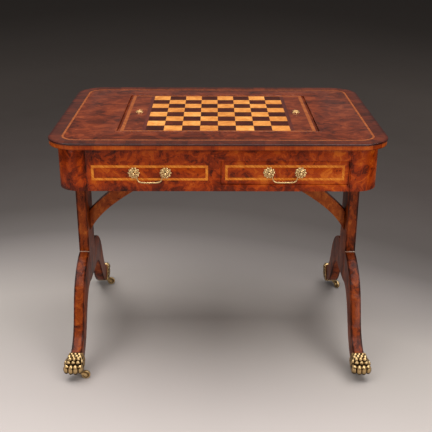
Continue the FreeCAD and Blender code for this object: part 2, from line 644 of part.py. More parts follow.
def make_rails():
    """What carries and guides the drawers, and what the posts and braces are fixed to."""
    inside_y = ("-" + INSIDE_Y, INSIDE_Y)
    guide_z = (FRIEZE_LOW, WELL_LOW)
    piece(box("drawer_divider", about("0", "divider_thick"), inside_y, guide_z), "drawer_divider")
    outer = (OPENING_FAR, "%s + guide_thick" % OPENING_FAR)
    guides = [box("guide", span, inside_y, guide_z) for span in (outer, minus(outer))]
    piece(group("drawer_guides", *guides), "drawer_guides")
    near = (OPENING_NEAR, "%s + runner_width" % OPENING_NEAR)
    far = ("%s - runner_width" % OPENING_FAR, OPENING_FAR)
    runner_z = ("%s - runner_height" % OPENING_LOW, OPENING_LOW)
    runners = [box("runner", span, inside_y, runner_z) for span in (near, far, minus(near), minus(far))]
    kicker_z = (WELL_LOW, "%s + runner_height" % WELL_LOW)
    kickers = [box("kicker", span, inside_y, kicker_z) for span in (outer_kicker(), minus(outer_kicker()))]
    piece(group("drawer_kickers", *kickers), "drawer_kickers")
    stop_y = (BOX_FAR + " + runner_gap", BOX_FAR + " + runner_gap + stop_length")
    stop_z = (OPENING_LOW, "%s + side_height / 3" % OPENING_LOW)
    stops = [box("stop", near, stop_y, stop_z, turned) for turned in (False, True)]
    piece(group("drawer_runners", *runners, *stops), "drawer_runners")
    bearer_x = ("%s - post_thick" % INSIDE_X, INSIDE_X)
    bearer_z = (FRIEZE_LOW, "%s + bearer_height" % FRIEZE_LOW)
    bearer_y = about("0", "bearer_length")
    bearers = [box("bearer", span, bearer_y, bearer_z) for span in (bearer_x, minus(bearer_x))]
    piece(group("post_bearers", *bearers), "post_bearers")
    batten_x = about("(brace_foot + brace_footprint / 2)", "batten_width")
    batten_z = (FRIEZE_LOW, "%s + batten_height" % FRIEZE_LOW)
    battens = [box("batten", span, inside_y, batten_z) for span in (batten_x, minus(batten_x))]
    piece(group("brace_battens", *battens), "brace_battens")


def outer_kicker():
    """The strip over a drawer's outer side: it reaches over the outer guide."""
    return ("%s - drawer_side - kicker_lap" % OPENING_FAR, "%s + guide_thick" % OPENING_FAR)


# ---------------------------------------------------------------- drawers

def make_drawer(name, turned):
    """A grooved box behind an inlaid front; turned makes the drawer of the far side."""
    front_x = ("%s + drawer_gap" % OPENING_NEAR, "%s - drawer_gap" % OPENING_FAR)
    front_z = ("%s + drawer_gap" % OPENING_LOW, "%s - drawer_gap" % OPENING_HIGH)
    bottom_x = ("%s + drawer_side - groove_depth" % front_x[0],
                "%s - drawer_side + groove_depth" % front_x[1])
    bottom_y = (BOX_NEAR + " - groove_depth", BOX_FAR)
    bottom_z = (SIDE_LOW + " + bottom_raise", SIDE_LOW + " + bottom_raise + drawer_bottom")
    bottom = box(name + "_bottom", bottom_x, bottom_y, bottom_z, turned)
    inlay = inlaid_rectangle(name + "_inlay", OPENING_MIDDLE, DRAWER_INLAY, FACE_Y, turned)
    front = box(name + "_front_blank", front_x, (FACE_Y, BOX_NEAR), front_z, turned)
    side_z = (SIDE_LOW, SIDE_LOW + " + side_height")
    spans = (front_x[0], front_x[0] + " + drawer_side"), (front_x[1] + " - drawer_side", front_x[1])
    sides = [box(name + "_side_blank", span, (BOX_NEAR, BOX_FAR), side_z, turned) for span in spans]
    back = box(name + "_back", (spans[0][1], spans[1][0]), (BOX_FAR + " - drawer_side", BOX_FAR),
               (bottom_z[1], side_z[1]), turned)
    piece(cut(name + "_front", front, bottom, inlay), name + "_front")
    grooved = [cut(name + "_side", side, bottom) for side in sides]
    piece(group(name + "_sides", *grooved, back), name + "_sides_and_back")
    piece(bottom, name + "_bottom")
    piece(inlay, name + "_inlay")


# ---------------------------------------------------------------- pulls

def rosette():
    """A flower of round petals with its back on the XZ plane, facing -Y."""
    body = doc.addObject("PartDesign::Body", "rosette")
    disc = sketch_in(body, "rosette_disc", "XZ_Plane")
    ring = "(rosette_size - petal_size) / 2"
    disc.addGeometry(Part.Circle(Vector(), Vector(0, 0, 1), value(ring)))
    disc.addConstraint(Sketcher.Constraint("Coincident", 0, 3, -1, 1))
    dimension(disc, "Radius", ring, 0)
    pad(body, "rosette_pad", disc, "rosette_thick")
    boss = sketch_in(body, "rosette_boss", "XZ_Plane")
    boss.addGeometry(Part.Circle(Vector(), Vector(0, 0, 1), value("rosette_boss / 2")))
    boss.addConstraint(Sketcher.Constraint("Coincident", 0, 3, -1, 1))
    dimension(boss, "Radius", "rosette_boss / 2", 0)
    pad(body, "boss_pad", boss, "rosette_thick + boss_proud")
    petal = sketch_in(body, "rosette_petal", "XZ_Plane")
    petal.addGeometry(Part.Circle(Vector(value(ring), 0, 0), Vector(0, 0, 1), value("petal_size / 2")))
    petal.addConstraint(Sketcher.Constraint("PointOnObject", 0, 3, -1))
    dimension(petal, "DistanceX", ring, -1, 1, 0, 3)
    dimension(petal, "Radius", "petal_size / 2", 0)
    petal_pad = pad(body, "petal_pad", petal, "rosette_thick")
    petals = body.newObject("PartDesign::PolarPattern", "petals")
    petals.Originals = [petal_pad]
    normal = [part for part in body.Origin.OriginFeatures if part.Role == "Y_Axis"][0]
    petals.Axis = (normal, [""])
    petals.Angle = 360
    petals.Occurrences = PETALS
    body.Tip = petals
    doc.recompute()
    return body


def pull_post():
    """A turned post on the rosette with a domed head, bored along X for the bail's pin."""
    thick, stand = value("rosette_thick"), value("pull_stand")
    radius, head = value("pull_post / 2"), value("pull_head / 2")
    reach = stand + radius
    outwards = Vector(0, -1, 0)
    stem = Part.makeCylinder(radius, reach - thick, Vector(0, -thick, 0), outwards)
    dome = Part.makeSphere(head, Vector(0, -reach, 0))
    crown = Part.makeBox(4 * head, head, 4 * head, Vector(-2 * head, -reach - head, -2 * head))
    bore = Part.makeCylinder(value("bail_rod / 2 + pin_play"), 4 * radius,
                             Vector(-2 * radius, -stand, 0), Vector(1, 0, 0))
    return stem.fuse(dome.common(crown)).cut(bore).removeSplitter()


def rounded_route(points, radius):
    """A wire through the points with an arc of this radius at each bend."""
    edges = []
    start = points[0]
    for before, bend, after in zip(points, points[1:], points[2:]):
        back, on = (before - bend).normalize(), (after - bend).normalize()
        half_angle = back.getAngle(on) / 2
        from_bend = radius / math.tan(half_angle)
        leave, join = bend + back * from_bend, bend + on * from_bend
        inward = (back + on).normalize()
        middle = bend + inward * (radius / math.sin(half_angle) - radius)
        edges += [Part.LineSegment(start, leave).toShape(), Part.Arc(leave, middle, join).toShape()]
        start = join
    edges.append(Part.LineSegment(start, points[-1]).toShape())
    return Part.Wire(edges)


def bail():
    """The drop handle in its hanging place: pins in the posts, bent arms and a beaded grip."""
    spread, drop = value("pull_spread / 2"), value("bail_drop")
    rod, grip = value("bail_rod / 2"), value("bail_grip / 2")
    neck = spread - value("pull_post / 2") - 2 * rod
    pin_end = spread + value("pull_post / 2") - rod / 2
    elbow = ((neck + grip) / 2 + rod, -value("bail_elbow"))
    half = [(pin_end, 0), (neck, 0), elbow, (grip - rod, -drop)]
    route = half + [(-x, z) for x, z in reversed(half)]
    spine = rounded_route([Vector(x, 0, z) for x, z in route], value("bail_bend"))
    section = Part.Wire(Part.Circle(Vector(pin_end, 0, 0), Vector(1, 0, 0), rod).toShape())
    handle = spine.makePipeShell([section], True, False)
    bead = Part.makeSphere(value("bail_bead / 2"), Vector(0, 0, -drop), Vector(1, 0, 0))
    return handle.fuse(bead).removeSplitter()


def make_pulls():
    """A pull on each real and each dummy drawer: rosettes and posts in one node, the bail in another."""
    flower, post, handle = rosette().Shape, pull_post(), bail()
    middles = {"drawer": (value(OPENING_MIDDLE), value(FACE_Y)),
               "dummy": (-value(DUMMY_MIDDLE), -value(FRIEZE_Y))}
    half, height = value("pull_spread / 2"), value(PULL_HEIGHT)
    mounts = {"front_drawer": [], "back_drawer": [], "dummy": []}
    for side, turn in (("front", 0), ("back", 180)):
        turned = Placement(Vector(), Rotation(Vector(0, 0, 1), turn))
        for kind, (middle, face) in middles.items():
            name = "%s_%s" % (side, kind)
            for x in (middle - half, middle + half):
                spot = turned.multiply(Placement(Vector(x, face, height), Rotation()))
                for solid in (flower.copy(), post.copy()):
                    solid.Placement = spot.multiply(solid.Placement)
                    mounts[kind if kind == "dummy" else name].append(solid)
            pivot = Vector(middle, face - value("pull_stand"), height)
            spot = turned.multiply(Placement(pivot, Rotation()))
            piece(feature("bail_" + name, handle, spot), "bail_" + name)
    for name, solids in mounts.items():
        piece(feature("pull_mounts_" + name, Part.makeCompound(solids)), "pull_mounts_" + name)


# ---------------------------------------------------------------- end supports

def smooth(points):
    """A curve through points of the YZ plane, given as (reach from the middle, height)."""
    curve = Part.BSplineCurve()
    curve.interpolate([Vector(0, -reach, height) for reach, height in points])
    return curve.toShape()


def straight(start, end):
    return Part.LineSegment(Vector(0, -start[0], start[1]), Vector(0, -end[0], end[1])).toShape()


def foot_frame():
    """The ankle's front, the heel, and the unit directions along and across the foot."""
    slope = math.radians(value("foot_slope"))
    along = (math.cos(slope), -math.sin(slope))
    across = (math.sin(slope), math.cos(slope))
    ankle = (value("toe_reach - ankle_back"), value("ankle_height"))
    heel = moved(ankle, across, -value("ankle_depth"))
    return ankle, heel, along, across


def moved(point, direction, distance):
    return (point[0] + direction[0] * distance, point[1] + direction[1] * distance)


def leg_shape():
    """The front leg's blank in the YZ plane at X = 0, as thick as the post towards +X."""
    ankle, heel, along, _ = foot_frame()
    tenon = value("tenon_depth")
    toe_end, heel_end = moved(ankle, along, tenon), moved(heel, along, tenon)
    hip = (value("post_depth / 2"), value("hip_height"))
    crown = (value("post_depth / 2"), value("arch_height"))
    outer = [
        hip, (value("post_depth / 2 + thigh_out"), value("thigh_height")),
        (value("toe_reach - knee_back"), value("knee_height")),
        (value("toe_reach - shin_back"), value("shin_height")), ankle]
    inner = [
        heel, (value("toe_reach - shank_back"), value("shank_height")),
        (value("toe_reach - calf_back"), value("calf_height")),
        (value("post_depth / 2 + arch_out"), value("arch_height - arch_fall")), crown]
    wire = Part.Wire([
        smooth(outer), straight(ankle, toe_end), straight(toe_end, heel_end), straight(heel_end, heel),
        smooth(inner), straight(crown, hip)])
    return Part.Face(wire).extrude(Vector(value("post_thick"), 0, 0))


def toe_shape(middle, offset, setback):
    """One toe: a bent tube from the knuckle down to the sole, with round ends; the toes fan out."""
    radius = value("toe_size / 2")
    reach = value("toe_reach") - radius - setback
    top, low = value("toe_height") + radius, value("sole_height") + radius
    x = middle + offset
    start = Vector(middle + TOE_FAN * offset, -(reach - 3 * radius), top)
    bend, end = Vector(x, -(reach - radius / 2), top - radius), Vector(x, -reach, low)
    spine = Part.Arc(start, bend, end).toShape()
    section = Part.Wire(Part.Circle(start, spine.tangentAt(spine.FirstParameter), radius).toShape())
    tube = Part.Wire([spine]).makePipeShell([section], True, False)
    return tube.multiFuse([Part.makeSphere(radius, start), Part.makeSphere(radius, end)])


def outlined(stations, place):
    """A face between two curves through stations of (half width, shift sideways, distance along)."""
    flanks = []
    for sign in (1, -1):
        flank = Part.BSplineCurve()
        flank.interpolate([place(sign * wide + move, along) for wide, move, along in stations])
        flanks.append(flank.toShape())
    first, last = [Part.LineSegment(*[flank.Vertexes[end].Point for flank in flanks]).toShape()
                   for end in (0, 1)]
    return Part.Face(Part.Wire([flanks[0], last, flanks[1], first]))


def paw_shape(leg):
    """A brass lion's paw round the foot, bored for the caster's stem, with the leg's socket cut out."""
    ankle, heel, along, across = foot_frame()
    wall, sole = value("paw_wall"), value("sole_height")
    collar_top, collar_low = moved(ankle, across, wall), moved(heel, across, -wall)
    knuckle = (value("toe_reach - knuckle_back"), value("knuckle_height"))
    toe_root = (value("toe_reach - toe_size"), value("toe_height"))
    sole_front, sole_back = (toe_root[0], sole), (value("toe_reach - sole_length"), sole)
    side = Part.Wire([
        smooth([collar_top, knuckle, toe_root]), straight(toe_root, sole_front),
        straight(sole_front, sole_back), straight(sole_back, collar_low), straight(collar_low, collar_top)])
    half, toes, shift = value("post_thick / 2 + paw_wall"), value("paw_width / 2"), value("paw_shift")
    block = Part.Face(side).extrude(Vector(4 * toes, 0, 0))
    block.translate(Vector(-2 * toes, 0, 0))
    back, front = collar_low[0] - wall, value("toe_reach")
    root = value("toe_reach - caster_back")
    plan = outlined([(half, 0, back), (half, 0, (back + root) / 2), (toes, shift, root),
                     (PAW_TAPER * toes, shift, front)], lambda x, reach: Vector(x, -reach, 0))
    crown = collar_top[1] + wall
    face = outlined([(toes, shift, sole), (toes, shift, (sole + knuckle[1]) / 2),
                     (half, 0, knuckle[1] + wall), (half, 0, crown)], lambda x, height: Vector(x, 0, height))
    paw = block.common(plan.extrude(Vector(0, 0, crown))).common(face.extrude(Vector(0, -front, 0)))
    pitch = value("(paw_width - toe_size) / %d" % (TOES - 1))
    toe_shapes = []
    for index in range(TOES):
        offset = index - (TOES - 1) / 2
        setback = value("toe_setback") if abs(offset) > 1 else 0
        toe_shapes.append(toe_shape(shift, offset * pitch, setback))
    centred_leg = leg.copy()
    centred_leg.translate(Vector(-value("post_thick / 2"), 0, 0))
    hole = Part.makeCylinder(value("stem_size / 2 + stem_play"), value("stem_top + stem_play") - sole + wall,
                             Vector(shift, -value("toe_reach - caster_back"), sole - wall))
    return paw.multiFuse(toe_shapes).cut(centred_leg).cut(hole).removeSplitter()


def make_supports():
    """Post, two sabre legs and two paws at each end."""
    post_z = ("arch_height", FRIEZE_LOW)
    post_x = (POST_IN, POST_OUT)
    posts = [box("post", span, about("0", "post_depth"), post_z) for span in (post_x, minus(post_x))]
    piece(group("posts", *posts), "posts")
    leg = leg_shape()
    paw = paw_shape(leg)
    right_leg = piece(feature("leg_front_right", leg, Placement(Vector(value(POST_IN), 0, 0), Rotation())),
                      "leg_front_right")
    left_leg = piece(mirrored("leg_front_left", right_leg, Vector(1, 0, 0)), "leg_front_left")
    piece(mirrored("leg_back_right", right_leg, Vector(0, 1, 0)), "leg_back_right")
    piece(mirrored("leg_back_left", left_leg, Vector(0, 1, 0)), "leg_back_left")
    front_right = feature("paw_front_right", paw, Placement(Vector(value(LEG_MIDDLE), 0, 0), Rotation()))
    front_left = mirrored("paw_front_left", front_right, Vector(1, 0, 0))
    back = [mirrored("paw_back", source, Vector(0, 1, 0)) for source in (front_right, front_left)]
    piece(group("paws", front_right, front_left, *back), "paws")


def brace_shape():
    """The right-hand brace: an arched arm from the post's inner face up to the batten."""
    post, top = value(POST_IN), value(FRIEZE_LOW)
    half, foot = value("brace_thick / 2"), value("brace_foot")
    foot_end = foot + value("brace_footprint")
    stations = [(post, value("brace_low"), value("brace_high")),
                (post - value("brace_middle"), value("middle_low"), value("middle_high")),
                (post - value("brace_bend"), value("bend_low"), value("bend_high"))]
    low = [Vector(x, -half, z) for x, z, _ in stations] + [Vector(foot, -half, top)]
    high = [Vector(x, -half, z) for x, _, z in stations] + [Vector(foot_end, -half, top)]
    edges = []
    for points in (low, high):
        edge = Part.BSplineCurve()
        edge.interpolate(points)
        edges.append(edge.toShape())
    ends = [Part.LineSegment(low[k], high[k]).toShape() for k in (0, -1)]
    wire = Part.Wire(Part.__sortEdges__(edges + ends))
    return Part.Face(wire).extrude(Vector(0, 2 * half, 0))


def make_braces():
    right = feature("brace_right", brace_shape())
    left = mirrored("brace_left", right, Vector(1, 0, 0))
    piece(group("braces", right, left), "braces")


# ---------------------------------------------------------------- casters

def fork_shape():
    """A fork about the stem's axis, trailing towards +X, with its riveted axle as a second solid."""
    low, high = value("fork_low"), value("fork_high")
    trail, axle = value("caster_trail"), value("axle_size / 2")
    inner = value("wheel_width / 2 + cheek_gap")
    outer = inner + value("cheek_thick")
    centre = value("wheel_size / 2")
    stem = Part.makeCylinder(value("stem_size / 2"), value("stem_top") - low, Vector(0, 0, low))
    disc = Part.makeCylinder(value("fork_plate / 2"), high - low, Vector(0, 0, low))
    wheel_front = trail - centre
    bridge = Part.makeBox(wheel_front - value("bridge_gap"), 2 * outer, high - low, Vector(0, -outer, low))
    boss = value("cheek_boss / 2")
    slope = math.radians(CHEEK_ANGLE)
    outline = [(wheel_front / 2, low), (wheel_front / 2, high), (wheel_front + value("cheek_root"), high),
               (trail + boss * math.cos(slope), centre + boss * math.sin(slope)),
               (trail, centre - boss), (trail - boss, centre)]
    corners = [Vector(x, 0, z) for x, z in outline]
    face = Part.Face(Part.makePolygon(corners + corners[:1]))
    cheeks = []
    for start in (inner, -outer):
        cheek = face.extrude(Vector(0, outer - inner, 0))
        cheek = cheek.fuse(Part.makeCylinder(boss, outer - inner, Vector(trail, 0, centre), Vector(0, 1, 0)))
        cheek.translate(Vector(0, start, 0))
        cheeks.append(cheek)
    rivet = outer + axle / 4
    hole = Part.makeCylinder(axle, 4 * outer, Vector(trail, -2 * outer, centre), Vector(0, 1, 0))
    fork = stem.multiFuse([disc, bridge] + cheeks).cut(hole).removeSplitter()
    pin = Part.makeCylinder(axle, 2 * rivet, Vector(trail, -rivet, centre), Vector(0, 1, 0))
    return Part.makeCompound([fork.Solids[0], pin])


def wheel_body():
    """A brass wheel turned about its own axle, the Y axis of its body."""
    body = doc.addObject("PartDesign::Body", "wheel")
    sketch = sketch_in(body, "wheel_section", "XY_Plane")
    bore, rim = "axle_size / 2 + stem_play", "wheel_size / 2"
    hub, dish, edge = "axle_size", "wheel_size / 2 - wheel_width / 4", "wheel_size / 2 - wheel_dish"
    face, floor = "wheel_width / 2", "wheel_width / 2 - wheel_dish"
    half = [(bore, face), (hub, face), (hub + " + wheel_dish", floor), (dish + " - wheel_dish", floor),
            (dish, face), (edge, face), (rim, floor)]
    other = [(x, "-(%s)" % y) for x, y in reversed(half)]
    polygon(sketch, half + other)
    turned = body.newObject("PartDesign::Revolution", "wheel_turning")
    turned.Profile = sketch
    turned.ReferenceAxis = (sketch, ["V_Axis"])
    turned.Angle = 360
    doc.recompute()
    return body


def make_casters():
    """A swivelling fork and a wheel under each paw; the left pair trail along +X."""
    fork, wheel = fork_shape(), wheel_body().Shape
    x, y = value(STEM_X), value("toe_reach - caster_back")
    swung = value("swung_caster")
    stances = {"front_left": (-x, -y, 0), "back_left": (-x, y, 0),
               "front_right": (x, -y, swung), "back_right": (x, y, -swung)}
    for name, (stem_x, stem_y, turn) in stances.items():
        spot = Placement(Vector(stem_x, stem_y, 0), Rotation(Vector(0, 0, 1), turn))
        piece(feature("caster_" + name, fork, spot), "caster_fork_" + name)
        hub = Placement(Vector(value("caster_trail"), 0, value("wheel_size / 2")), Rotation())
        piece(feature("wheel_" + name, wheel, spot.multiply(hub)), "caster_wheel_" + name)


# ---------------------------------------------------------------- the whole table

make_top()
make_board()
make_lift_rings()
make_well()
make_frieze()
make_rails()
make_drawer("front_drawer", False)
make_drawer("back_drawer", True)
make_pulls()
make_supports()
make_braces()
make_casters()
doc.recompute()

failed = [item.Label for item in doc.Objects if "Invalid" in item.State or "Error" in item.State]
if failed:
    raise RuntimeError("features that failed: " + ", ".join(failed))
for sub_part in pieces:
    if sub_part.Shape.isNull() or not sub_part.Shape.isValid():
        raise RuntimeError("the shape of %s is not valid" % sub_part.Label)

os.makedirs("parts", exist_ok=True)
for sub_part in pieces:
    sub_part.Shape.exportStep(os.path.join("parts", sub_part.Label + ".step"))
print(len(pieces), "sub-parts")
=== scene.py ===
# %% [markdown]
# # A chess table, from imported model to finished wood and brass
#
# The table comes in as a fixed frame of plain solids: every board, leg and drawer already has its
# size and its place. What is left is what a polisher and a brass founder would do. The arrises are
# softened, the veneers get their figure, and the plain brass solids give way to chased and cast ones.
# Each step says what the piece is on the real table, how it could be made here, and why this way.

# %% Load the frame
import bmesh
import bpy
import json
import math
import random
from mathutils import Matrix, Vector
from mathutils.bvhtree import BVHTree


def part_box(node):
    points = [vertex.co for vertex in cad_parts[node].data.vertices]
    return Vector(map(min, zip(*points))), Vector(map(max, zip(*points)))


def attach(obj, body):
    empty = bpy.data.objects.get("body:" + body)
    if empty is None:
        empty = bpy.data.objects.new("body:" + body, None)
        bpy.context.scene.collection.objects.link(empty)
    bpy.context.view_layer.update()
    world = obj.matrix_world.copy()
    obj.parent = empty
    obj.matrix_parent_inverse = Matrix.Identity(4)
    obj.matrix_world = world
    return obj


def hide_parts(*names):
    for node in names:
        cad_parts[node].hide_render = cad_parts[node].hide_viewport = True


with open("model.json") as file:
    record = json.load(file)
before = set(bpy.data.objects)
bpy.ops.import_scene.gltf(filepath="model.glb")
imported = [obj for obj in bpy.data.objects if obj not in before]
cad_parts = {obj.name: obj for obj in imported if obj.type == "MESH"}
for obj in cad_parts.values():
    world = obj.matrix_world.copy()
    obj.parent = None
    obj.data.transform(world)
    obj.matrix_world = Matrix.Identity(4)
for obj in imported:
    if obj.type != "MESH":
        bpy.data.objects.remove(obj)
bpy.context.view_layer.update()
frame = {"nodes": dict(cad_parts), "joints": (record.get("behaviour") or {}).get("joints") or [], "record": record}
nodes = frame["nodes"]

# %% [markdown]
# ## Node trees written as sums
#
# A finish is a tree of shader nodes. Wired by hand, even a simple sum takes three nodes, so a small
# class wraps one output and lets Python's own operators add the Math nodes. One method makes every
# other node: its settings come first, because they decide which sockets it has, and then its inputs.

# %% A value in a tree, and the tree it lives in
def maths(operation, reflected=False):
    """A method that adds one Math node; reflected is for a value on the right of the sign."""
    def method(value, *others):
        terms = (*others, value) if reflected else (value, *others)
        return value.graph.node("ShaderNodeMath", {"operation": operation}, dict(enumerate(terms)))
    return method


class Value:
    """One output of a node tree; sums on it become Math nodes."""

    def __init__(self, graph, socket):
        self.graph, self.socket = graph, socket

    __add__, __radd__ = maths("ADD"), maths("ADD", reflected=True)
    __sub__, __rsub__ = maths("SUBTRACT"), maths("SUBTRACT", reflected=True)
    __mul__, __rmul__ = maths("MULTIPLY"), maths("MULTIPLY", reflected=True)
    __truediv__, __rtruediv__ = maths("DIVIDE"), maths("DIVIDE", reflected=True)
    __lt__, __gt__ = maths("LESS_THAN"), maths("GREATER_THAN")
    at_least, at_most = maths("MAXIMUM"), maths("MINIMUM")
    __abs__, root = maths("ABSOLUTE"), maths("SQRT")
    floor, part = maths("FLOOR"), maths("FRACT")
    sine, cosine = maths("SINE"), maths("COSINE")

    def choose(self, where_one, where_zero):
        """One value where this is 1, another where it is 0."""
        return self * where_one + (1.0 - self) * where_zero

    def rise(self, start, end):
        """0 below start, 1 above end, and a smooth step between; start may be above end."""
        backwards = float(start > end)
        return self.graph.node("ShaderNodeMapRange", {"interpolation_type": "SMOOTHSTEP"},
                               {"Value": self, "From Min": min(start, end), "From Max": max(start, end),
                                "To Min": backwards, "To Max": 1.0 - backwards})


class Graph:
    """Any node tree; one method makes all its nodes."""

    def __init__(self, tree):
        self.tree = tree

    def node(self, kind, settings=None, inputs=None, output=0):
        """Make a node; a plain input goes straight on its socket, and a value is linked to it."""
        made = self.tree.nodes.new(kind)
        for name, setting in (settings or {}).items():
            if name == "stops":
                ramp = made.color_ramp
                while len(ramp.elements) < len(setting):
                    ramp.elements.new(0.5)
                for element, (place, colour) in zip(ramp.elements, setting):
                    element.position, element.color = place, (*colour, 1.0)
            else:
                setattr(made, name, setting)
        for name, value in (inputs or {}).items():
            if isinstance(value, Value):
                self.tree.links.new(value.socket, made.inputs[name])
            else:
                made.inputs[name].default_value = value
        return Value(self, made.outputs[output]) if made.outputs else None

    def vector(self, x, y, z):
        return self.node("ShaderNodeCombineXYZ", inputs={0: x, 1: y, 2: z})

    def vector_sum(self, operation, first, second):
        return self.node("ShaderNodeVectorMath", {"operation": operation}, {0: first, 1: second})


def tone(*channels):
    """A colour given in screen values, as the linear numbers that a node takes."""
    return tuple(((c / 255 + 0.055) / 1.055) ** 2.4 if c > 10 else c / 255 / 12.92 for c in channels)


def tones(*rows):
    """The stops of a ramp, from rows of (place, red, green, blue)."""
    return tuple((place, tone(*channels)) for place, *channels in rows)


# %% [markdown]
# ## A finish
#
# A finish starts from Object coordinates: all pieces sit unturned at the table's own origin, so the
# coordinates are metres on the table, and a figure keeps its scale from one board to the next. Wood
# gets a clear coat over its colour, as lacquer lies over veneer; brass is bare metal.

# %% The tree of one finish
RELIEF = 0.0002  # metres from pore to ridge


class Finish(Graph):
    """A material: noise and mixes to draw with, and one surface to end on."""

    def __init__(self, name):
        self.material = bpy.data.materials.new(name)
        self.material.use_nodes = True
        super().__init__(self.material.node_tree)
        self.tree.nodes.clear()
        self.place = self.node("ShaderNodeTexCoord", output="Object")

    def axes(self, vector):
        outputs = self.node("ShaderNodeSeparateXYZ", inputs={0: vector}).socket.node.outputs
        return [Value(self, output) for output in outputs]

    def noise(self, where, scale, detail=4.0, roughness=0.5, distortion=0.0, output=0):
        return self.node("ShaderNodeTexNoise", {"noise_dimensions": "3D"},
                         {"Vector": where, "Scale": scale, "Detail": detail,
                          "Roughness": roughness, "Distortion": distortion}, output)

    def cells(self, where, scale):
        return self.node("ShaderNodeTexVoronoi", {}, {"Vector": where, "Scale": scale}, "Distance")

    def chance(self, where):
        return self.node("ShaderNodeTexWhiteNoise", {"noise_dimensions": "3D"}, {"Vector": where}, "Value")

    def mix(self, factor, first, second, blend="MIX"):
        """Two colours mixed by a factor."""
        first, second = [c if isinstance(c, Value) else (*c, 1.0) for c in (first, second)]
        return self.node("ShaderNodeMix", {"data_type": "RGBA", "blend_type": blend, "clamp_factor": True},
                         {0: factor, 6: first, 7: second}, 2)

    def ramp(self, factor, *stops):
        return self.node("ShaderNodeValToRGB", {"stops": stops}, {"Fac": factor})

    def bump(self, height):
        return self.node("ShaderNodeBump", {}, {"Strength": 0.15, "Distance": RELIEF, "Height": height})

    def surface(self, colour, roughness, **others):
        """The shader itself; others are its other inputs, such as coat_weight for Coat Weight."""
        inputs = {"Base Color": colour, "Roughness": roughness}
        for name, value in others.items():
            inputs[name.replace("_", " ").title().replace("Ior", "IOR")] = value
        shader = self.node("ShaderNodeBsdfPrincipled", {}, inputs)
        self.node("ShaderNodeOutputMaterial", {}, {"Surface": shader})
        return self.material


# %% [markdown]
# ## Burl veneer
#
# Burl comes from a swelling on the trunk where the grain curls round hundreds of small buds. Three
# things make it: slow clouds of light and dark, a curled figure about a thumbnail wide, and scattered
# dark eyes. The figure is noise whose coordinates have been pushed about by slower noise, which is
# what bends it into curls; the eyes are small discs in a few of the cells of a Voronoi pattern.

# %% The figure of burl
DRIFT, PUSH = 11.0, 0.07  # slow noise to a metre, and how far it pushes, in metres
CLOUDS, FIGURE = 14.0, 42.0  # clouds and curls to a metre
FLECKS = 420.0  # pores to a metre
EYES, EYE_PATCHES = 95.0, 30.0  # possible eyes, and places that have some, to a metre


def burl(finish, where, stops, shade, size=1.0):
    """Colour and height of burl veneer: stops run from dark to light, shade darkens, size enlarges."""
    drift = finish.noise(where, DRIFT / size, 2.0, output="Color")
    centred = finish.vector_sum("SUBTRACT", drift, (0.5,) * 3)
    pushed = finish.vector_sum("ADD", where, finish.vector_sum("MULTIPLY", centred, (PUSH * size,) * 3))
    cloud = finish.noise(pushed, CLOUDS / size, 3.0, 0.55)
    figure = finish.noise(pushed, FIGURE / size, 6.0, 0.58, 0.7)
    curl = abs((figure * 7.0).part() - 0.5) * 2.0
    fleck = finish.noise(where, FLECKS, 3.0, 0.6)
    eye_here = finish.noise(where, EYE_PATCHES / size, 2.0).rise(0.56, 0.66)
    eyes = finish.cells(pushed, EYES / size).rise(0.30, 0.12) * eye_here
    # The weights say how much each layer counts, and the last number centres their sum on the ramp.
    depth = cloud * 0.42 + figure * 0.54 + curl * 0.05 + fleck * 0.18 - eyes * 0.14 - 0.075
    colour = finish.ramp(depth - shade, *stops)
    height = fleck * 0.5 + figure * 0.5 - eyes * 0.3
    return colour, height


FRIEZE_TONES = tones((0.32, 46, 10, 0), (0.43, 98, 27, 0), (0.50, 138, 44, 0), (0.58, 162, 62, 4),
                     (0.68, 188, 92, 18))
TOP_TONES = tones((0.32, 36, 10, 4), (0.43, 70, 24, 9), (0.51, 92, 34, 13), (0.59, 110, 45, 19),
                  (0.69, 130, 62, 31))
LEG_TONES = tones((0.32, 32, 9, 2), (0.43, 74, 25, 5), (0.51, 112, 43, 9), (0.59, 134, 58, 14),
                  (0.69, 160, 82, 28))

# %% [markdown]
# ## Lacquer
#
# All the show wood has the same finish: veneer rubbed to a satin, in which pores and slow ripples are
# left, and a hard, bright lacquer over it. The satin is the shader's roughness and bump, and the
# lacquer its clear coat. How thick that lies may vary over a piece; its roughness is a plain number.

# %% Lacquered wood
def lacquered(finish, colour, height, coat=0.22):
    """Veneer under lacquer: an uneven satin below, gloss above."""
    ripple = finish.noise(finish.place, 40.0, 2.0)
    grain = finish.bump(height + ripple * 0.3)
    rough = finish.noise(finish.place, 25.0, 3.0) * 0.16 + 0.34
    return finish.surface(colour, rough, normal=grain, coat_weight=coat, coat_roughness=0.16,
                          coat_ior=1.45, specular_ior_level=0.08)


def rounded_reach(x, y, half_x, half_y, radius):
    """How far a point is outside a rounded rectangle, and whether an end side is nearest."""
    over_x, over_y = abs(x) - (half_x - radius), abs(y) - (half_y - radius)
    past_x, past_y = over_x.at_least(0.0), over_y.at_least(0.0)
    reach = (past_x * past_x + past_y * past_y).root() + over_x.at_least(over_y).at_most(0.0) - radius
    return reach, over_x > over_y


# %% [markdown]
# ## Frieze, drawer fronts and corner blocks
#
# The frieze is the brightest burl on the table. Its tone falls a little towards the lower edge, and
# painted shade darkens it beside each corner block. The right end is painted lighter than the left,
# where the light falls more strongly.

# %% Finish of the frieze
LOW_EDGE = (0.650, 0.620)  # heights between which the tone falls
SEAM_X, SEAM_Y = 0.367, 0.235  # where the corner blocks begin
SEAM_SHADE_REACH = 0.016  # how far the painted shade reaches from a seam
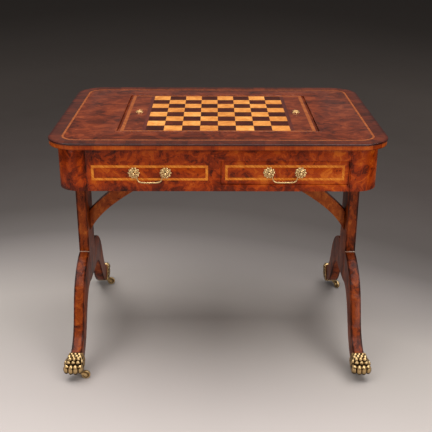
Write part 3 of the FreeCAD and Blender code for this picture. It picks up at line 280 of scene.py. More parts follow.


def make_frieze_finish():
    finish = Finish("frieze_burl")
    x, y, z = finish.axes(finish.place)
    # darker towards the lower edge; painted shade beside each corner block; painted light towards the right end
    low = z.rise(*LOW_EDGE) * 0.075
    painted_seam_shade = abs(abs(x) - SEAM_X).rise(SEAM_SHADE_REACH, 0.0) + abs(abs(y) - SEAM_Y).rise(SEAM_SHADE_REACH, 0.0)
    painted_light_to_right = x * 0.07
    colour, height = burl(finish, finish.place, FRIEZE_TONES, low + painted_seam_shade * 0.07 - painted_light_to_right)
    return lacquered(finish, colour, height)


frieze_finish = make_frieze_finish()
print("frieze finish has", len(frieze_finish.node_tree.nodes), "nodes")

# %% [markdown]
# ## The top
#
# Inside the light stringing lies one large field of burl, redder and darker than the frieze, and
# painted shade makes it darkest in front. Outside it runs a crossband: strips of straight-grained
# veneer, three fingers wide, laid with the grain towards the edge. Which side of the table is nearest
# decides which way the grain runs. The crossband darkens towards the very edge, at the nosing.

# %% Finish of the top
LEAF = 0.042  # width of one leaf of crossbanding
FIELD = (0.438, 0.306, 0.048)  # the field's half length, half width and corner radius
NOSING = (0.026, 0.036)  # distances past the field between which the edge darkens
FRONT_SHADE_SPAN = (-0.21, -0.29)  # places along Y between which painted shade darkens the front
BORDER_TONES = tones((0.22, 30, 9, 5), (0.42, 62, 22, 11), (0.58, 84, 32, 15), (0.78, 108, 46, 22))


def crossband(finish, along, across, stops):
    """Colour and height of straight grain running across a band, laid in short leaves."""
    leaf = (along / LEAF).floor()
    luck = finish.chance(finish.vector(leaf, leaf * 0.37, 1.0))
    grain_place = finish.vector(along + luck * 3.0, across * 0.12, luck * 5.0)
    grain = finish.noise(grain_place, 260.0, 5.0, 0.6, 0.4)
    patch = finish.noise(finish.vector(along, across, luck * 9.0), 22.0, 3.0, 0.6, 0.8)
    joint = abs((along / LEAF).part() - 0.5).rise(0.485, 0.5)
    depth = grain * 0.34 + patch * 0.52 + luck * 0.16 - joint * 0.12
    return finish.ramp(depth, *stops), grain


def make_top_finish():
    finish = Finish("top_burl")
    x, y, z = finish.axes(finish.place)
    reach, at_end = rounded_reach(x, y, *FIELD)
    # painted shade: the front of the top is darker
    painted_front_shade = y.rise(*FRONT_SHADE_SPAN) * 0.075
    field, field_height = burl(finish, finish.vector(x * 0.8, y, z), TOP_TONES, painted_front_shade, 1.15)
    border, border_height = crossband(finish, at_end.choose(y, x), at_end.choose(x, y), BORDER_TONES)
    edge_dark = finish.mix(reach.rise(*NOSING) * 0.8, border, tone(170, 110, 96), "MULTIPLY")
    outside = reach.rise(-0.0003, 0.0003)
    height = outside.choose(border_height, field_height)
    return lacquered(finish, finish.mix(outside, field, edge_dark), height, coat=0.7)


top_finish = make_top_finish()

# %% [markdown]
# ## Edge crossband
#
# Under the dark nosing the edge of the top is faced with the same leaves, stood on end and brighter.
# Its grain runs straight up, so only the run along the edge matters.

# %% Finish of the edge
BAND = (0.473, 0.341, 0.083)  # the band's half length, half width and corner radius
BAND_FOOT = (0.7475, 0.7445)  # heights between which it darkens towards the frieze
BAND_TONES = tones((0.20, 70, 20, 4), (0.42, 132, 46, 7), (0.60, 166, 72, 14), (0.80, 192, 102, 34))


def make_edge_finish():
    finish = Finish("edge_crossband")
    x, y, z = finish.axes(finish.place)
    _, at_end = rounded_reach(x, y, *BAND)
    colour, height = crossband(finish, at_end.choose(y, x), z, BAND_TONES)
    shadow = z.rise(*BAND_FOOT) * 0.5
    return lacquered(finish, finish.mix(shadow, colour, tone(60, 22, 8), "MULTIPLY"), height)


edge_finish = make_edge_finish()
print("crossbands:", top_finish.name, edge_finish.name)

# %% [markdown]
# ## Light inlays
#
# The light lines are feather banding: chips of pale wood cut on the slant and glued side by side, so
# a fine diagonal hatch runs along each line. Those on the top are a darker tone.

# %% Finish of the inlaid lines
CHIP = 0.0042  # width of one slanted chip


def make_inlay_finish(name, stops):
    finish = Finish(name)
    x, y, z = finish.axes(finish.place)
    slant = (x + y + z) / CHIP
    luck = finish.chance(finish.vector(slant.floor(), 0.0, 2.0))
    hatch = slant.part().rise(0.0, 0.45)
    grain = finish.noise(finish.place, 700.0, 2.0)
    depth = hatch * 0.34 + luck * 0.30 + grain * 0.36
    return lacquered(finish, finish.ramp(depth, *stops), grain)


bright_inlay = make_inlay_finish("feather_inlay", tones(
    (0.18, 146, 62, 8), (0.5, 192, 98, 22), (0.82, 222, 138, 48)))
mellow_inlay = make_inlay_finish("mellow_feather_inlay", tones(
    (0.18, 86, 38, 15), (0.5, 122, 60, 28), (0.82, 150, 84, 44)))
print("inlays:", bright_inlay.name, mellow_inlay.name)

# %% [markdown]
# ## Squares and borders of the board
#
# Each square is its own piece of veneer, cut from another part of the leaf. The cell that a point
# lies in says how far off the figure is read, so no curl runs on from one square to the next. It also
# draws a number by chance, which makes some squares a little darker.

# %% Finishes of the board
SQUARE = 0.052  # side of one square
LEAF_STEP = (0.31, 0.47, 0.11)  # how far on the leaf the next square is cut


def make_square_finish(name, stops):
    finish = Finish(name)
    x, y, _ = finish.axes(finish.place)
    cell = finish.vector((x / SQUARE).floor(), (y / SQUARE).floor(), 3.0)
    luck = finish.chance(cell)
    moved = finish.vector_sum("ADD", finish.place, finish.vector_sum("MULTIPLY", cell, LEAF_STEP))
    colour, height = burl(finish, moved, stops, luck * 0.12 - 0.06, 0.7)
    return lacquered(finish, colour, height)


light_square = make_square_finish("light_square_veneer", tones(
    (0.22, 120, 62, 22), (0.40, 168, 100, 42), (0.60, 196, 130, 62), (0.80, 220, 164, 96)))
dark_square = make_square_finish("dark_square_veneer", tones(
    (0.22, 20, 7, 5), (0.40, 44, 15, 9), (0.60, 66, 24, 13), (0.80, 92, 38, 20)))

# %% [markdown]
# ## Straight-grained wood
#
# The borders of the board are a dark red wood with a straight grain, and the drawers and the well are
# lined with a pale one. Noise that is stretched along Y gives both: slow bands, lines, and fine fibre.

# %% Finishes of borders and linings
def make_straight_finish(name, stops, stretch, scale, coat):
    """Wood with its grain along Y, where the noise is read stretch times as fast; scale lines to a metre."""
    finish = Finish(name)
    grain_place = finish.vector_sum("MULTIPLY", finish.place, (1.0, stretch, 1.0))
    wander = finish.noise(grain_place, 14.0, 2.0)
    lines = finish.noise(grain_place, scale, 5.0, 0.6, 0.6)
    fibre = finish.noise(grain_place, scale * 9.0, 3.0, 0.6)
    colour = finish.ramp(wander * 0.42 + lines * 0.42 + fibre * 0.16, *stops)
    return lacquered(finish, colour, lines + fibre, coat)


rosewood = make_straight_finish("rosewood", tones(
    (0.25, 38, 11, 8), (0.45, 70, 24, 15), (0.62, 94, 36, 21), (0.8, 118, 52, 30)), 0.12, 70.0, 0.85)
lining_wood = make_straight_finish("lining_wood", tones(
    (0.25, 118, 74, 38), (0.45, 158, 108, 62), (0.62, 184, 134, 84), (0.8, 204, 160, 110)), 0.07, 60.0, 0.15)
print("woods:", [wood.name for wood in (light_square, dark_square, rosewood, lining_wood)])

# %% [markdown]
# ## Legs, posts and braces
#
# The supports are veneered too, in a quieter figure that is drawn out along the leg. Each front face
# is lighter in the middle and darker along its arrises. These faces are 33 mm wide, so the distance
# from the middle of the leg gives that shading; the flanks, whose normal lies along X, are left out of
# it and only get a touch of painted shade. The braces, in the shadow of the top, are painted lighter,
# and they are glossier on top.

# %% Finish of the supports
LEG_MIDDLE = 0.4335  # the middle of a support, from the middle of the table
ARRIS = (0.0085, 0.0160)  # distances from it between which a front face darkens
SUPPORT_SIDE = (0.020, 0.017)  # distances from it between which the support begins
BRACE_END = (0.408, 0.398)  # places along X between which the braces begin
BRACE_FOOT = (0.40, 0.44)  # heights between which upper faces turn glossy


def make_support_finish():
    finish = Finish("support_veneer")
    x, y, z = finish.axes(finish.place)
    sideways, _, upwards = finish.axes(finish.node("ShaderNodeTexCoord", output="Normal"))
    flank = abs(sideways).rise(0.5, 0.8)
    from_middle = abs(abs(x) - LEG_MIDDLE)
    arris = from_middle.rise(*ARRIS) * from_middle.rise(*SUPPORT_SIDE) * (1.0 - flank)
    brace_painted_light = abs(x).rise(*BRACE_END)
    # painted shade: a touch on the flanks; the braces painted lighter against the shadow of the top
    shade = arris * 0.17 + flank * 0.01 - brace_painted_light * 0.09
    drawn = finish.vector(x, y, z * 0.55)
    colour, height = burl(finish, drawn, LEG_TONES, shade, 0.85)
    brace_top = upwards.rise(0.4, 0.7) * z.rise(*BRACE_FOOT)
    return lacquered(finish, colour, height, coat=brace_top * 0.75 + 0.10)


support_finish = make_support_finish()
print("supports:", support_finish.name)

# %% [markdown]
# ## Brass
#
# The fittings are cast, chased and lacquered dark in their hollows. The shader reads an attribute
# that the cast pieces carry and that is 0 on plain ones: how deep a point lies in a hollow, which
# gives the dark patina and the painted shade there, plus painted shade on what faces down. It also
# reads a slow noise for the places that hands have polished. Feet, lifts and pulls differ in how
# bright and how rubbed they are.

# %% Finishes of the brass
DULL_GOLD, BRIGHT_GOLD = (164, 132, 84), (200, 172, 126)


def make_brass(name, bright, satin=0.26):
    """Brass whose golds are multiplied by bright; satin is its least roughness."""
    finish = Finish(name)
    hollow = finish.node("ShaderNodeAttribute", {"attribute_name": "hollow"}, output="Fac")
    rubbed = finish.noise(finish.place, 90.0, 4.0, 0.6)
    speck = finish.noise(finish.place, 900.0, 2.0)
    # dark patina in the hollows, together with the painted shade stored beside it
    patina_and_shade = (hollow + (rubbed - 0.5) * 0.6 + (speck - 0.5) * 0.15).rise(0.02, 0.60)
    dull, golden = (tone(*(channel * bright for channel in gold)) for gold in (DULL_GOLD, BRIGHT_GOLD))
    colour = finish.mix(patina_and_shade, finish.mix(rubbed, dull, golden), tone(44, 30, 14))
    rough = patina_and_shade * 0.20 + rubbed * 0.14 + satin
    return finish.surface(colour, rough, normal=finish.bump(speck + rubbed), metallic=1.0)


brass = make_brass("antique_brass", 1.12)
rubbed_brass = make_brass("rubbed_brass", 1.22, 0.42)
pull_brass = make_brass("pull_brass", 1.2, 0.18)
print("brasses:", brass.name, rubbed_brass.name, pull_brass.name)

# %% [markdown]
# ## Which node gets which finish
#
# Every node that keeps its plain shape is dressed here in one go; pieces made further on bring their
# own.

# %% Dress the plain nodes
def dress(names, material):
    """Put a finish on nodes that keep their own shape."""
    for name in names:
        for place in nodes[name].material_slots:
            place.material = material


FINISHES = {
    "burl": frieze_finish, "crossband": edge_finish, "mahogany": support_finish, "rosewood": rosewood,
    "light_inlay": bright_inlay, "light_square": light_square, "dark_square": dark_square,
    "lining": lining_wood, "brass": brass}
slot_of = {part["node"]: part["material_slot"] for part in frame["record"]["subparts"]}
for slot_name, material in FINISHES.items():
    dress([name for name, used in slot_of.items() if used == slot_name], material)
dress(["top_slab", "board_core", "recess_bead"], top_finish)
dress(["top_stringing", "board_band"], mellow_inlay)
print(len(slot_of), "nodes dressed")

# %% [markdown]
# ## Softened arrises
#
# No polished edge is truly sharp, and the thin line of light along an arris does much of the work of
# making wood look real. The solids have sharp edges, so a copy of each is welded, its flat faces are
# cleaned of the cuts between triangles, and a Bevel modifier rounds what is left.

# %% Take a node's mesh, and put a finished one in its place
body_of = {name: body for body, names in frame["record"]["behaviour"]["bodies"].items() for name in names}
WELD = 2e-6  # metres between corners that are one
FLAT = math.radians(0.6)  # faces that turn less than this are one


def as_shape(mesh):
    """A mesh opened for work, as a bmesh."""
    shape = bmesh.new()
    shape.from_mesh(mesh)
    return shape


def welded(node):
    """A merged copy of a node's mesh, as a bmesh."""
    shape = as_shape(nodes[node].data)
    bmesh.ops.remove_doubles(shape, verts=shape.verts, dist=WELD)
    bmesh.ops.dissolve_limit(shape, angle_limit=FLAT, verts=shape.verts, edges=shape.edges)
    return shape


def stand(name, data):
    """A new object in the scene, at the origin."""
    thing = bpy.data.objects.new(name, data)
    bpy.context.scene.collection.objects.link(thing)
    return thing


def kept(holder):
    """The holder's mesh after its modifiers, as a plain mesh; the holder goes."""
    bpy.context.view_layer.update()
    result = bpy.data.meshes.new_from_object(holder.evaluated_get(bpy.context.evaluated_depsgraph_get()))
    bpy.data.objects.remove(holder)
    return result


def finished(name, mesh, material, body, slot_name, replaced=()):
    """Put a finished mesh on its body, in place of the nodes that it stands for."""
    mesh.name = name
    mesh.materials.clear()
    mesh.materials.append(material)
    piece = stand(name, mesh)
    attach(piece, body)
    if replaced:
        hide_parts(*replaced)
    return piece


def modified(mesh, *modifiers):
    """The mesh after modifiers, each given as (type, settings)."""
    holder = stand("holder", mesh)
    for kind, settings in modifiers:
        modifier = holder.modifiers.new(kind, kind)
        for name, value in settings.items():
            setattr(modifier, name, value)
    return kept(holder)


# %% Round the arrises
ARRIS_ANGLE = math.radians(32)  # edges that turn more than this are rounded


def soften(node, width, material, segments=3):
    """Replace a node by its copy with rounded arrises."""
    shape = welded(node)
    mesh = bpy.data.meshes.new(node + "_softened")
    shape.to_mesh(mesh)
    shape.free()
    mesh.shade_smooth()
    mesh = modified(mesh, ("BEVEL", {
        "width": width, "segments": segments, "limit_method": "ANGLE", "angle_limit": ARRIS_ANGLE,
        "harden_normals": True, "use_clamp_overlap": True}))
    return finished(node + "_softened", mesh, material, body_of[node], slot_of[node], [node])


SOFTENED = {  # node: width of the rounding, finish
    "posts": (0.0016, support_finish), "braces": (0.0014, support_finish),
    "apron_front": (0.0005, frieze_finish), "apron_back": (0.0005, frieze_finish),
    "side_aprons": (0.0005, frieze_finish), "corner_blocks": (0.0006, frieze_finish),
    "front_drawer_front": (0.0008, frieze_finish), "back_drawer_front": (0.0008, frieze_finish),
    "top_slab": (0.0013, top_finish), "recess_bead": (0.0009, top_finish)}
for corner in ("front_left", "front_right", "back_left", "back_right"):
    SOFTENED["leg_" + corner] = (0.0016, support_finish)
for node, (width, material) in SOFTENED.items():
    piece = soften(node, width, material)
    print(piece.name, len(piece.data.polygons), "faces")

# %% [markdown]
# ## Geometry Nodes for what repeats
#
# Petals, leaves and beads repeat. Each is made once and a small node tree sets the copies out: the
# tree is built here with named inputs, run on a mesh or a curve, and its result is kept as a plain
# mesh. Realize Instances comes before the end, since an export knows nothing of instances. What tells
# one copy from the next is its number alone, so nothing here is random.

# %% A tree for making shapes
class Making(Graph):
    """A Geometry Nodes tree with named inputs."""

    def __init__(self, name, **sizes):
        super().__init__(bpy.data.node_groups.new(name, "GeometryNodeTree"))
        self.identifiers = {}
        self.tree.interface.new_socket("Geometry", in_out="INPUT", socket_type="NodeSocketGeometry")
        for size, start in sizes.items():
            kind = "NodeSocketInt" if isinstance(start, int) else "NodeSocketFloat"
            socket = self.tree.interface.new_socket(size, in_out="INPUT", socket_type=kind)
            socket.default_value = start
            self.identifiers[size] = socket.identifier
        self.tree.interface.new_socket("Geometry", in_out="OUTPUT", socket_type="NodeSocketGeometry")
        self.given = self.tree.nodes.new("NodeGroupInput")

    def take(self, name):
        return Value(self, self.given.outputs[name])

    def end(self, geometry, material):
        real = self.node("GeometryNodeRealizeInstances", inputs={"Geometry": geometry})
        coloured = self.node("GeometryNodeSetMaterial", inputs={"Geometry": real, "Material": material})
        self.node("NodeGroupOutput", inputs={0: coloured})

    def run(self, data, **sizes):
        """The tree's result on a mesh or a curve, as a plain mesh."""
        holder = stand("holder", data)
        modifier = holder.modifiers.new("making", "NODES")
        modifier.node_group = self.tree
        for name, size in sizes.items():
            modifier[self.identifiers[name]] = size
        return kept(holder)


def make_petal_ring():
    """Copies of a petal round the Y axis; the petal points along +X."""
    tree = Making("petal_ring", Count=10, Radius=0.0115, Start=0.0)
    index = tree.node("GeometryNodeInputIndex")
    turn = index / tree.take("Count") * math.tau + tree.take("Start")
    place = tree.vector(turn.cosine() * tree.take("Radius"), 0.0, turn.sine() * tree.take("Radius"))
    points = tree.node("GeometryNodePoints", inputs={"Count": tree.take("Count"), "Position": place})
    petals = tree.node("GeometryNodeInstanceOnPoints", inputs={
        "Points": points, "Instance": tree.take("Geometry"), "Rotation": tree.vector(0.0, turn * -1.0, 0.0)})
    tree.end(petals, brass)
    return tree


petal_ring = make_petal_ring()
print(petal_ring.tree.name, "takes", list(petal_ring.identifiers))

# %% [markdown]
# ## Small shapes to build from
#
# A lathe makes anything round: a profile of (radius, height) pairs is turned about an axis. Balls and
# drops come from a sphere that is stretched. Pieces are gathered in one mesh and brought to their
# place at the end. Where a casting has hollows, its old lacquer is dark and shade falls, so each point
# of a finished mesh is compared with a smoothed copy; how deep it lies below is stored for the shader,
# which paints both the dark patina and the shade there.

# %% Lathe, balls and gathering
def turned(profile, steps=32):
    """A shape turned about -Y from pairs of (radius, how far out along -Y)."""
    shape = bmesh.new()
    rings = []
    for radius, out in profile:
        angles = [math.tau * k / steps for k in range(steps)] if radius else [0.0]
        rings.append([shape.verts.new((radius * math.cos(a), -out, radius * math.sin(a))) for a in angles])
    for low, high in zip(rings, rings[1:]):
        for k in range(steps):
            after = (k + 1) % steps
            corners = [low[k % len(low)], low[after % len(low)], high[after % len(high)], high[k % len(high)]]
            unique = list(dict.fromkeys(corners))
            if len(unique) > 2:
                shape.faces.new(unique)
    bmesh.ops.recalc_face_normals(shape, faces=shape.faces)
    return shape


SORTING = Vector((0.31, 0.79, 0.97))  # no two edges or faces of a ball are level along it


def ball(centre, radii, turn=Matrix.Identity(4), rows=12):
    """A sphere stretched to three radii, turned and moved to its centre.

    Its edges and faces are made in an order that changes from run to run, so they are sorted."""
    shape = bmesh.new()
    bmesh.ops.create_uvsphere(shape, u_segments=2 * rows, v_segments=rows, radius=1.0)
    shape.edges.sort(key=lambda edge: (edge.verts[0].co + edge.verts[1].co).dot(SORTING))
    shape.faces.sort(key=lambda face: face.calc_center_median().dot(SORTING))
    shape.transform(Matrix.Translation(centre) @ turn @ Matrix.Diagonal((*radii, 1)))
    return shape


def gather(shapes, name):
    """One smooth mesh from many shapes, which are freed."""
    mesh = bpy.data.meshes.new(name)
    whole = bmesh.new()
    for shape in shapes:
        part = bpy.data.meshes.new("part")
        shape.to_mesh(part)
        shape.free()
        whole.from_mesh(part)
        bpy.data.meshes.remove(part)
    whole.to_mesh(mesh)
    whole.free()
    mesh.shade_smooth()
    mesh.set_sharp_from_angle(angle=math.radians(50))
    return mesh


def placed(mesh, turn):
    """A copy of a mesh, moved; a mirrored copy has its faces turned back."""
    copy = mesh.copy()
    copy.transform(turn)
    if turn.determinant() < 0:
        copy.flip_normals()
    return copy


# %% Dark patina and painted shade in hollows, and painted shade underneath
def mark_hollows_and_shade(mesh, *scales, underside_shade=0.0):
    """Store, from 0 to 1, how deep each point lies below smoother copies of the surface; this paints
    both the dark patina and the shade in the hollows.

    A scale is (times smoothed, depth in metres that counts as quite deep); underside sets how much
    painted shade goes on what faces down."""
    shape = as_shape(mesh)
    shape.normal_update()
    start = [v.co.copy() for v in shape.verts]
    near = [[e.other_vert(v).index for e in v.link_edges] for v in shape.verts]
    # painted shade on what faces down
    hollow = [max(0.3 - v.normal.z, 0.0) * underside_shade for v in shape.verts]
    now, done = list(start), 0
    for reach, full in sorted(scales):
        for _ in range(reach - done):
            now = [sum((now[k] for k in near[v.index]), now[v.index].copy()) / (len(near[v.index]) + 1)
                   for v in shape.verts]
        done = reach
        for v in shape.verts:
            hollow[v.index] += max((now[v.index] - start[v.index]).dot(v.normal), 0.0) / full
    shape.free()
    attribute = mesh.attributes.new("hollow", "FLOAT", "POINT")
    attribute.data.foreach_set("value", [min(depth, 1.0) for depth in hollow])


# %% [markdown]
# ## Rosettes and posts
#
# Each end of a pull is a flower cast in brass: ten dished petals round a raised heart, a ring of
# beads, and a turned post with a domed head that carries the bail. One petal is modelled and the tree
# sets ten round. The rosettes stand where the plain ones stand, found from their boxes.

# %% One rosette with its post
PETALS, BEADS = 10, 24
ROSETTE = 0.0155  # middle to the petals' tips
PETAL_RING = 0.0124  # middle to a petal's middle
LEAF_RING, BEAD_RING = 0.0062, 0.0092
PIVOT_OUT = 0.010  # wood to the bail's pivot
POST, HEAD = 0.0035, 0.0055  # radii of the post and its domed head
ROSETTE_REACH = PIVOT_OUT + POST + HEAD  # wood to the tip of the head
PLATE_SIDE = ((0, 0), (0.0128, 0), (0.0128, 0.0008), (0.0104, 0.0020), (0.0098, 0.0024), (0.0082, 0.0022),
              (0.0078, 0.0030), (0.0060, 0.0035), (0.0048, 0.0040), (0, 0.0040))


def make_rosette():
    petal = ball((0, -0.0010, 0), (0.0046, 0.0015, 0.0037), rows=10)
    crease = ball((0.0010, -0.0023, 0), (0.0026, 0.0006, 0.0007), rows=6)
    ring = petal_ring.run(gather([petal, crease], "petal"), Count=PETALS, Radius=PETAL_RING)
    leaf = ball((0, -0.0030, 0), (0.0030, 0.0012, 0.0013), rows=8)
    inner = petal_ring.run(gather([leaf], "leaf"), Count=PETALS, Radius=LEAF_RING, Start=math.pi / PETALS)
    bead = ball((0, -0.0026, 0), (0.0007,) * 3, rows=6)
    beads = petal_ring.run(gather([bead], "bead"), Count=BEADS, Radius=BEAD_RING)
    reach = PIVOT_OUT + POST
    post = turned([(0, 0.0035), (POST + 0.0010, 0.0038), (POST + 0.0010, 0.0048), (POST, 0.0054),
                   (POST, reach - 0.0006), (HEAD - 0.0004, reach - 0.0002), (HEAD, reach + 0.0004),
                   (HEAD - 0.0003, reach + 0.0018), (HEAD - 0.0013, reach + 0.0034),
                   (HEAD - 0.0030, reach + 0.0048), (0, reach + 0.0055)], 28)
    mesh = gather([as_shape(ring), as_shape(inner), as_shape(beads), turned(PLATE_SIDE), post], "rosette")
    mark_hollows_and_shade(mesh, (3, 0.0006), underside_shade=0.2)
    return mesh


rosette = make_rosette()
print("rosette:", len(rosette.polygons), "faces")

# %% The rosettes in their places
FRONT_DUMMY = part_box("bail_front_dummy")
PULL_HALF = 0.044  # middle of a pull to the middle of each rosette
DUMMY_PULLS = [(FRONT_DUMMY[0][0] + FRONT_DUMMY[1][0]) / 2 + side * PULL_HALF for side in (-1, 1)]


def way_to(x, y, z):
    """The move from the origin to a place in front, or turned round to one at the back."""
    return Matrix.Translation((x, y, z)) @ Matrix.Rotation(math.pi if y > 0 else 0, 4, "Z")


def behind(node, depth):
    """The place along Y that lies this deep behind a node's outer side."""
    low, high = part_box(node)
    return high[1] - depth if high[1] > 0 else low[1] + depth


def pull_places(node):
    """Middle of each rosette of a node, at the wood."""
    low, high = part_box(node)
    height = (low[2] + high[2]) / 2
    if node.endswith("dummy"):
        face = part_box("apron_front")[0][1]
        return [(side * pull, side * face, height) for side in (1, -1) for pull in DUMMY_PULLS]
    return [(x, behind(node, ROSETTE_REACH), height) for x in (low[0] + ROSETTE, high[0] - ROSETTE)]


for node in ("pull_mounts_front_drawer", "pull_mounts_back_drawer", "pull_mounts_dummy"):
    places = pull_places(node)
    flowers = [as_shape(placed(rosette, way_to(*place))) for place in places]
    finished(node + "_cast", gather(flowers, node), pull_brass, body_of[node], "brass", [node])
    print(node, [tuple(round(v, 4) for v in place) for place in places])

# %% [markdown]
# ## Bails
#
# A bail is drawn from one rod that thickens towards the hand, with a turned bead in the middle and
# small thin collars beside it. A curve follows the bends; the tree sweeps a circle along it whose
# radius swells towards the middle, and sets bead and collars out along the grip.

# %% A tree for a bail
COLLARS = 7  # the bead in the middle is one of them


def make_bail_tree():
    tree = Making("beaded_bail", Step=0.0009, Rod=0.0019, Swell=0.0006, Bead=0.0030, Collar=0.0028,
                  Taper=0.00012, Thin=0.0011, Spacing=0.0042)
    fine = tree.node("GeometryNodeResampleCurve", {"mode": "LENGTH"}, {
        "Curve": tree.take("Geometry"), "Length": tree.take("Step")})
    factor = tree.node("GeometryNodeSplineParameter", output="Factor")
    middle = 1.0 - abs(factor - 0.5) * 2.0
    radius = tree.take("Rod") + middle.rise(0.35, 0.95) * tree.take("Swell")
    circle = tree.node("GeometryNodeCurvePrimitiveCircle", inputs={"Resolution": 14, "Radius": 1.0})
    rod = tree.node("GeometryNodeCurveToMesh", inputs={
        "Curve": fine, "Profile Curve": circle, "Scale": radius, "Fill Caps": True})
    row = tree.node("GeometryNodePoints", inputs={"Count": COLLARS})
    index = tree.node("GeometryNodeInputIndex") - COLLARS // 2
    along = tree.vector(index * tree.take("Spacing"), 0.0, 0.0)
    low = tree.node("GeometryNodeSampleCurve", {"mode": "FACTOR", "use_all_curves": True},
                    {"Curves": tree.take("Geometry"), "Factor": 0.5}, "Position")
    row = tree.node("GeometryNodeSetPosition", inputs={
        "Geometry": row, "Position": tree.vector_sum("ADD", low, along)})
    in_middle = abs(index) < 0.5
    collar = tree.take("Collar") - abs(index) * tree.take("Taper")
    size = in_middle.choose(tree.take("Bead"), collar)
    thick = in_middle.choose(tree.take("Bead"), tree.take("Thin"))
    sphere = tree.node("GeometryNodeMeshUVSphere", inputs={"Segments": 18, "Rings": 12, "Radius": 1.0})
    beads = tree.node("GeometryNodeInstanceOnPoints", inputs={
        "Points": row, "Instance": sphere, "Scale": tree.vector(thick, size, size)})
    both = tree.tree.nodes.new("GeometryNodeJoinGeometry")
    for part in (rod, beads):
        tree.tree.links.new(part.socket, both.inputs[0])
    tree.end(Value(tree, both.outputs[0]), brass)
    return tree


bail_tree = make_bail_tree()
print(bail_tree.tree.name, "takes", list(bail_tree.identifiers))

# %% The bails on their pivots
BAIL_ROUTE = ((0.0466, 0), (0.0398, 0), (0.0368, -0.0012), (0.0356, -0.0055), (0.0340, -0.0130),
              (0.0325, -0.0187), (0.0288, -0.0233), (0.0225, -0.0251), (0.0140, -0.0255), (0.0060, -0.0255))
EYE_TOP = 0.0018  # pivot to the top of the plain bail
EYE_DEPTH = 0.0035  # pivot to the plain bail's outer side


def bail_curve():
    """The middle of the rod, from pivot to pivot."""
    data = bpy.data.curves.new("bail_line", "CURVE")
    data.dimensions = "3D"
    points = list(BAIL_ROUTE) + [(-x, z) for x, z in reversed(BAIL_ROUTE)]
    spline = data.splines.new("NURBS")
    spline.points.add(len(points) - 1)
    for point, (x, z) in zip(spline.points, points):
        point.co = (x, 0, z, 1)
    spline.order_u, spline.use_endpoint_u, spline.resolution_u = 3, True, 12
    return data


bail_mesh = bail_tree.run(bail_curve())
bail_mesh.shade_smooth()
mark_hollows_and_shade(bail_mesh, (2, 0.0006), underside_shade=0.25)
for node in ("bail_front_drawer", "bail_front_dummy", "bail_back_drawer", "bail_back_dummy"):
    low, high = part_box(node)
    pivot = ((low[0] + high[0]) / 2, behind(node, EYE_DEPTH), high[2] - EYE_TOP)
    finished(node + "_cast", placed(bail_mesh, way_to(*pivot)), pull_brass, body_of[node], "brass", [node])
    print(node, "pivot", [round(v, 4) for v in pivot])

# %% [markdown]
# ## Paws
#
# Each foot is a cast brass lion's paw, a sleeve over the end of the leg. The plain paw of the frame
# already has the sleeve, the socket and the stem's hole, so it is kept as the core. Knuckles, toes,
# claws and overlapping locks of fur are laid on it as stretched balls, and one voxel remesh melts them
# into a single casting. That is quicker and rounder than modelling the folds by hand.

# %% Knuckles, toes and claws
TOE_SIDES = (-0.0140, 0.0, 0.0140, 0.0280)
TOE_BACK = (0.0045, 0.0, 0.0, 0.0045)
PAD_SIDES = (-0.0085, 0.0060, 0.0205)
TOE_REACH = 0.3395  # the middle toes, from the middle of the table


def foot_point(side, reach, height):
    """A place on the front right foot: outwards from the leg, forwards from the middle, up."""
    return Vector((LEG_MIDDLE + side, -reach, height))


def toe_balls():
    """Knuckle, toe and claw of each toe, the outer toes set back, and pads between the knuckles."""
    for side in PAD_SIDES:
        yield foot_point(side, 0.3335, 0.0665), (0.0074, 0.0085, 0.0072)
    for side, back in zip(TOE_SIDES, TOE_BACK):
        reach = TOE_REACH - back
        yield foot_point(side * 0.96, reach - 0.0030, 0.0525), (0.0084, 0.0116, 0.0076)
        yield foot_point(side, reach + 0.0012, 0.0405), (0.0064, 0.0072, 0.0082)
        yield foot_point(side, reach + 0.0060, 0.0350), (0.0022, 0.0030, 0.0042)


print("toes:", len(list(toe_balls())), "balls")

# %% Locks of fur
SLOPE = math.atan2(0.602, 0.799)  # the foot slopes down to the toes
ALONG = Vector((0, -math.cos(SLOPE), -math.sin(SLOPE)))
ACROSS = Vector((0, -math.sin(SLOPE), math.cos(SLOPE)))
MOUTH = Vector((LEG_MIDDLE, -0.3124, 0.0882))  # upper edge of the sleeve's mouth
FUR_ROWS = ((0.0058, 0.0112, 0.0052, 0.0030, 0.0050),  # down the foot, spacing, and half the
            (0.0136, 0.0112, 0.0054, 0.0040, 0.0056),  # width, thickness and length of a lock
            (0.0228, 0.0128, 0.0066, 0.0062, 0.0070))
SIDE_ROWS, SIDE_STEPS = (0.0070, 0.0165, 0.0260), (0.004, 0.0165, 0.029, 0.0415)
SIDE_LOCK = (0.0058, 0.0034, 0.0072)
CLEAR = 0.03  # rays start this far off the paw's top, and twice this off its middle
FUR_ENDS = 0.045  # no lock lies lower than this


def fur_rays():
    """Where each lock starts, as (down the foot, sideways, below the top, ray), and its half sizes."""
    for row, (down, spacing, *sizes) in enumerate(FUR_ROWS):
        for step in (-1.5, -0.5, 0.5, 1.5) if row % 2 else (-1, 0, 1):
            yield down, step * spacing + 0.0015 * row, -CLEAR, -ACROSS, sizes
    for side in (-1, 1):
        for row, down in enumerate(SIDE_ROWS):
            for low in SIDE_STEPS:
                yield down, side * 2 * CLEAR, low + 0.006 * (row % 2), Vector((-side, 0, 0)), SIDE_LOCK


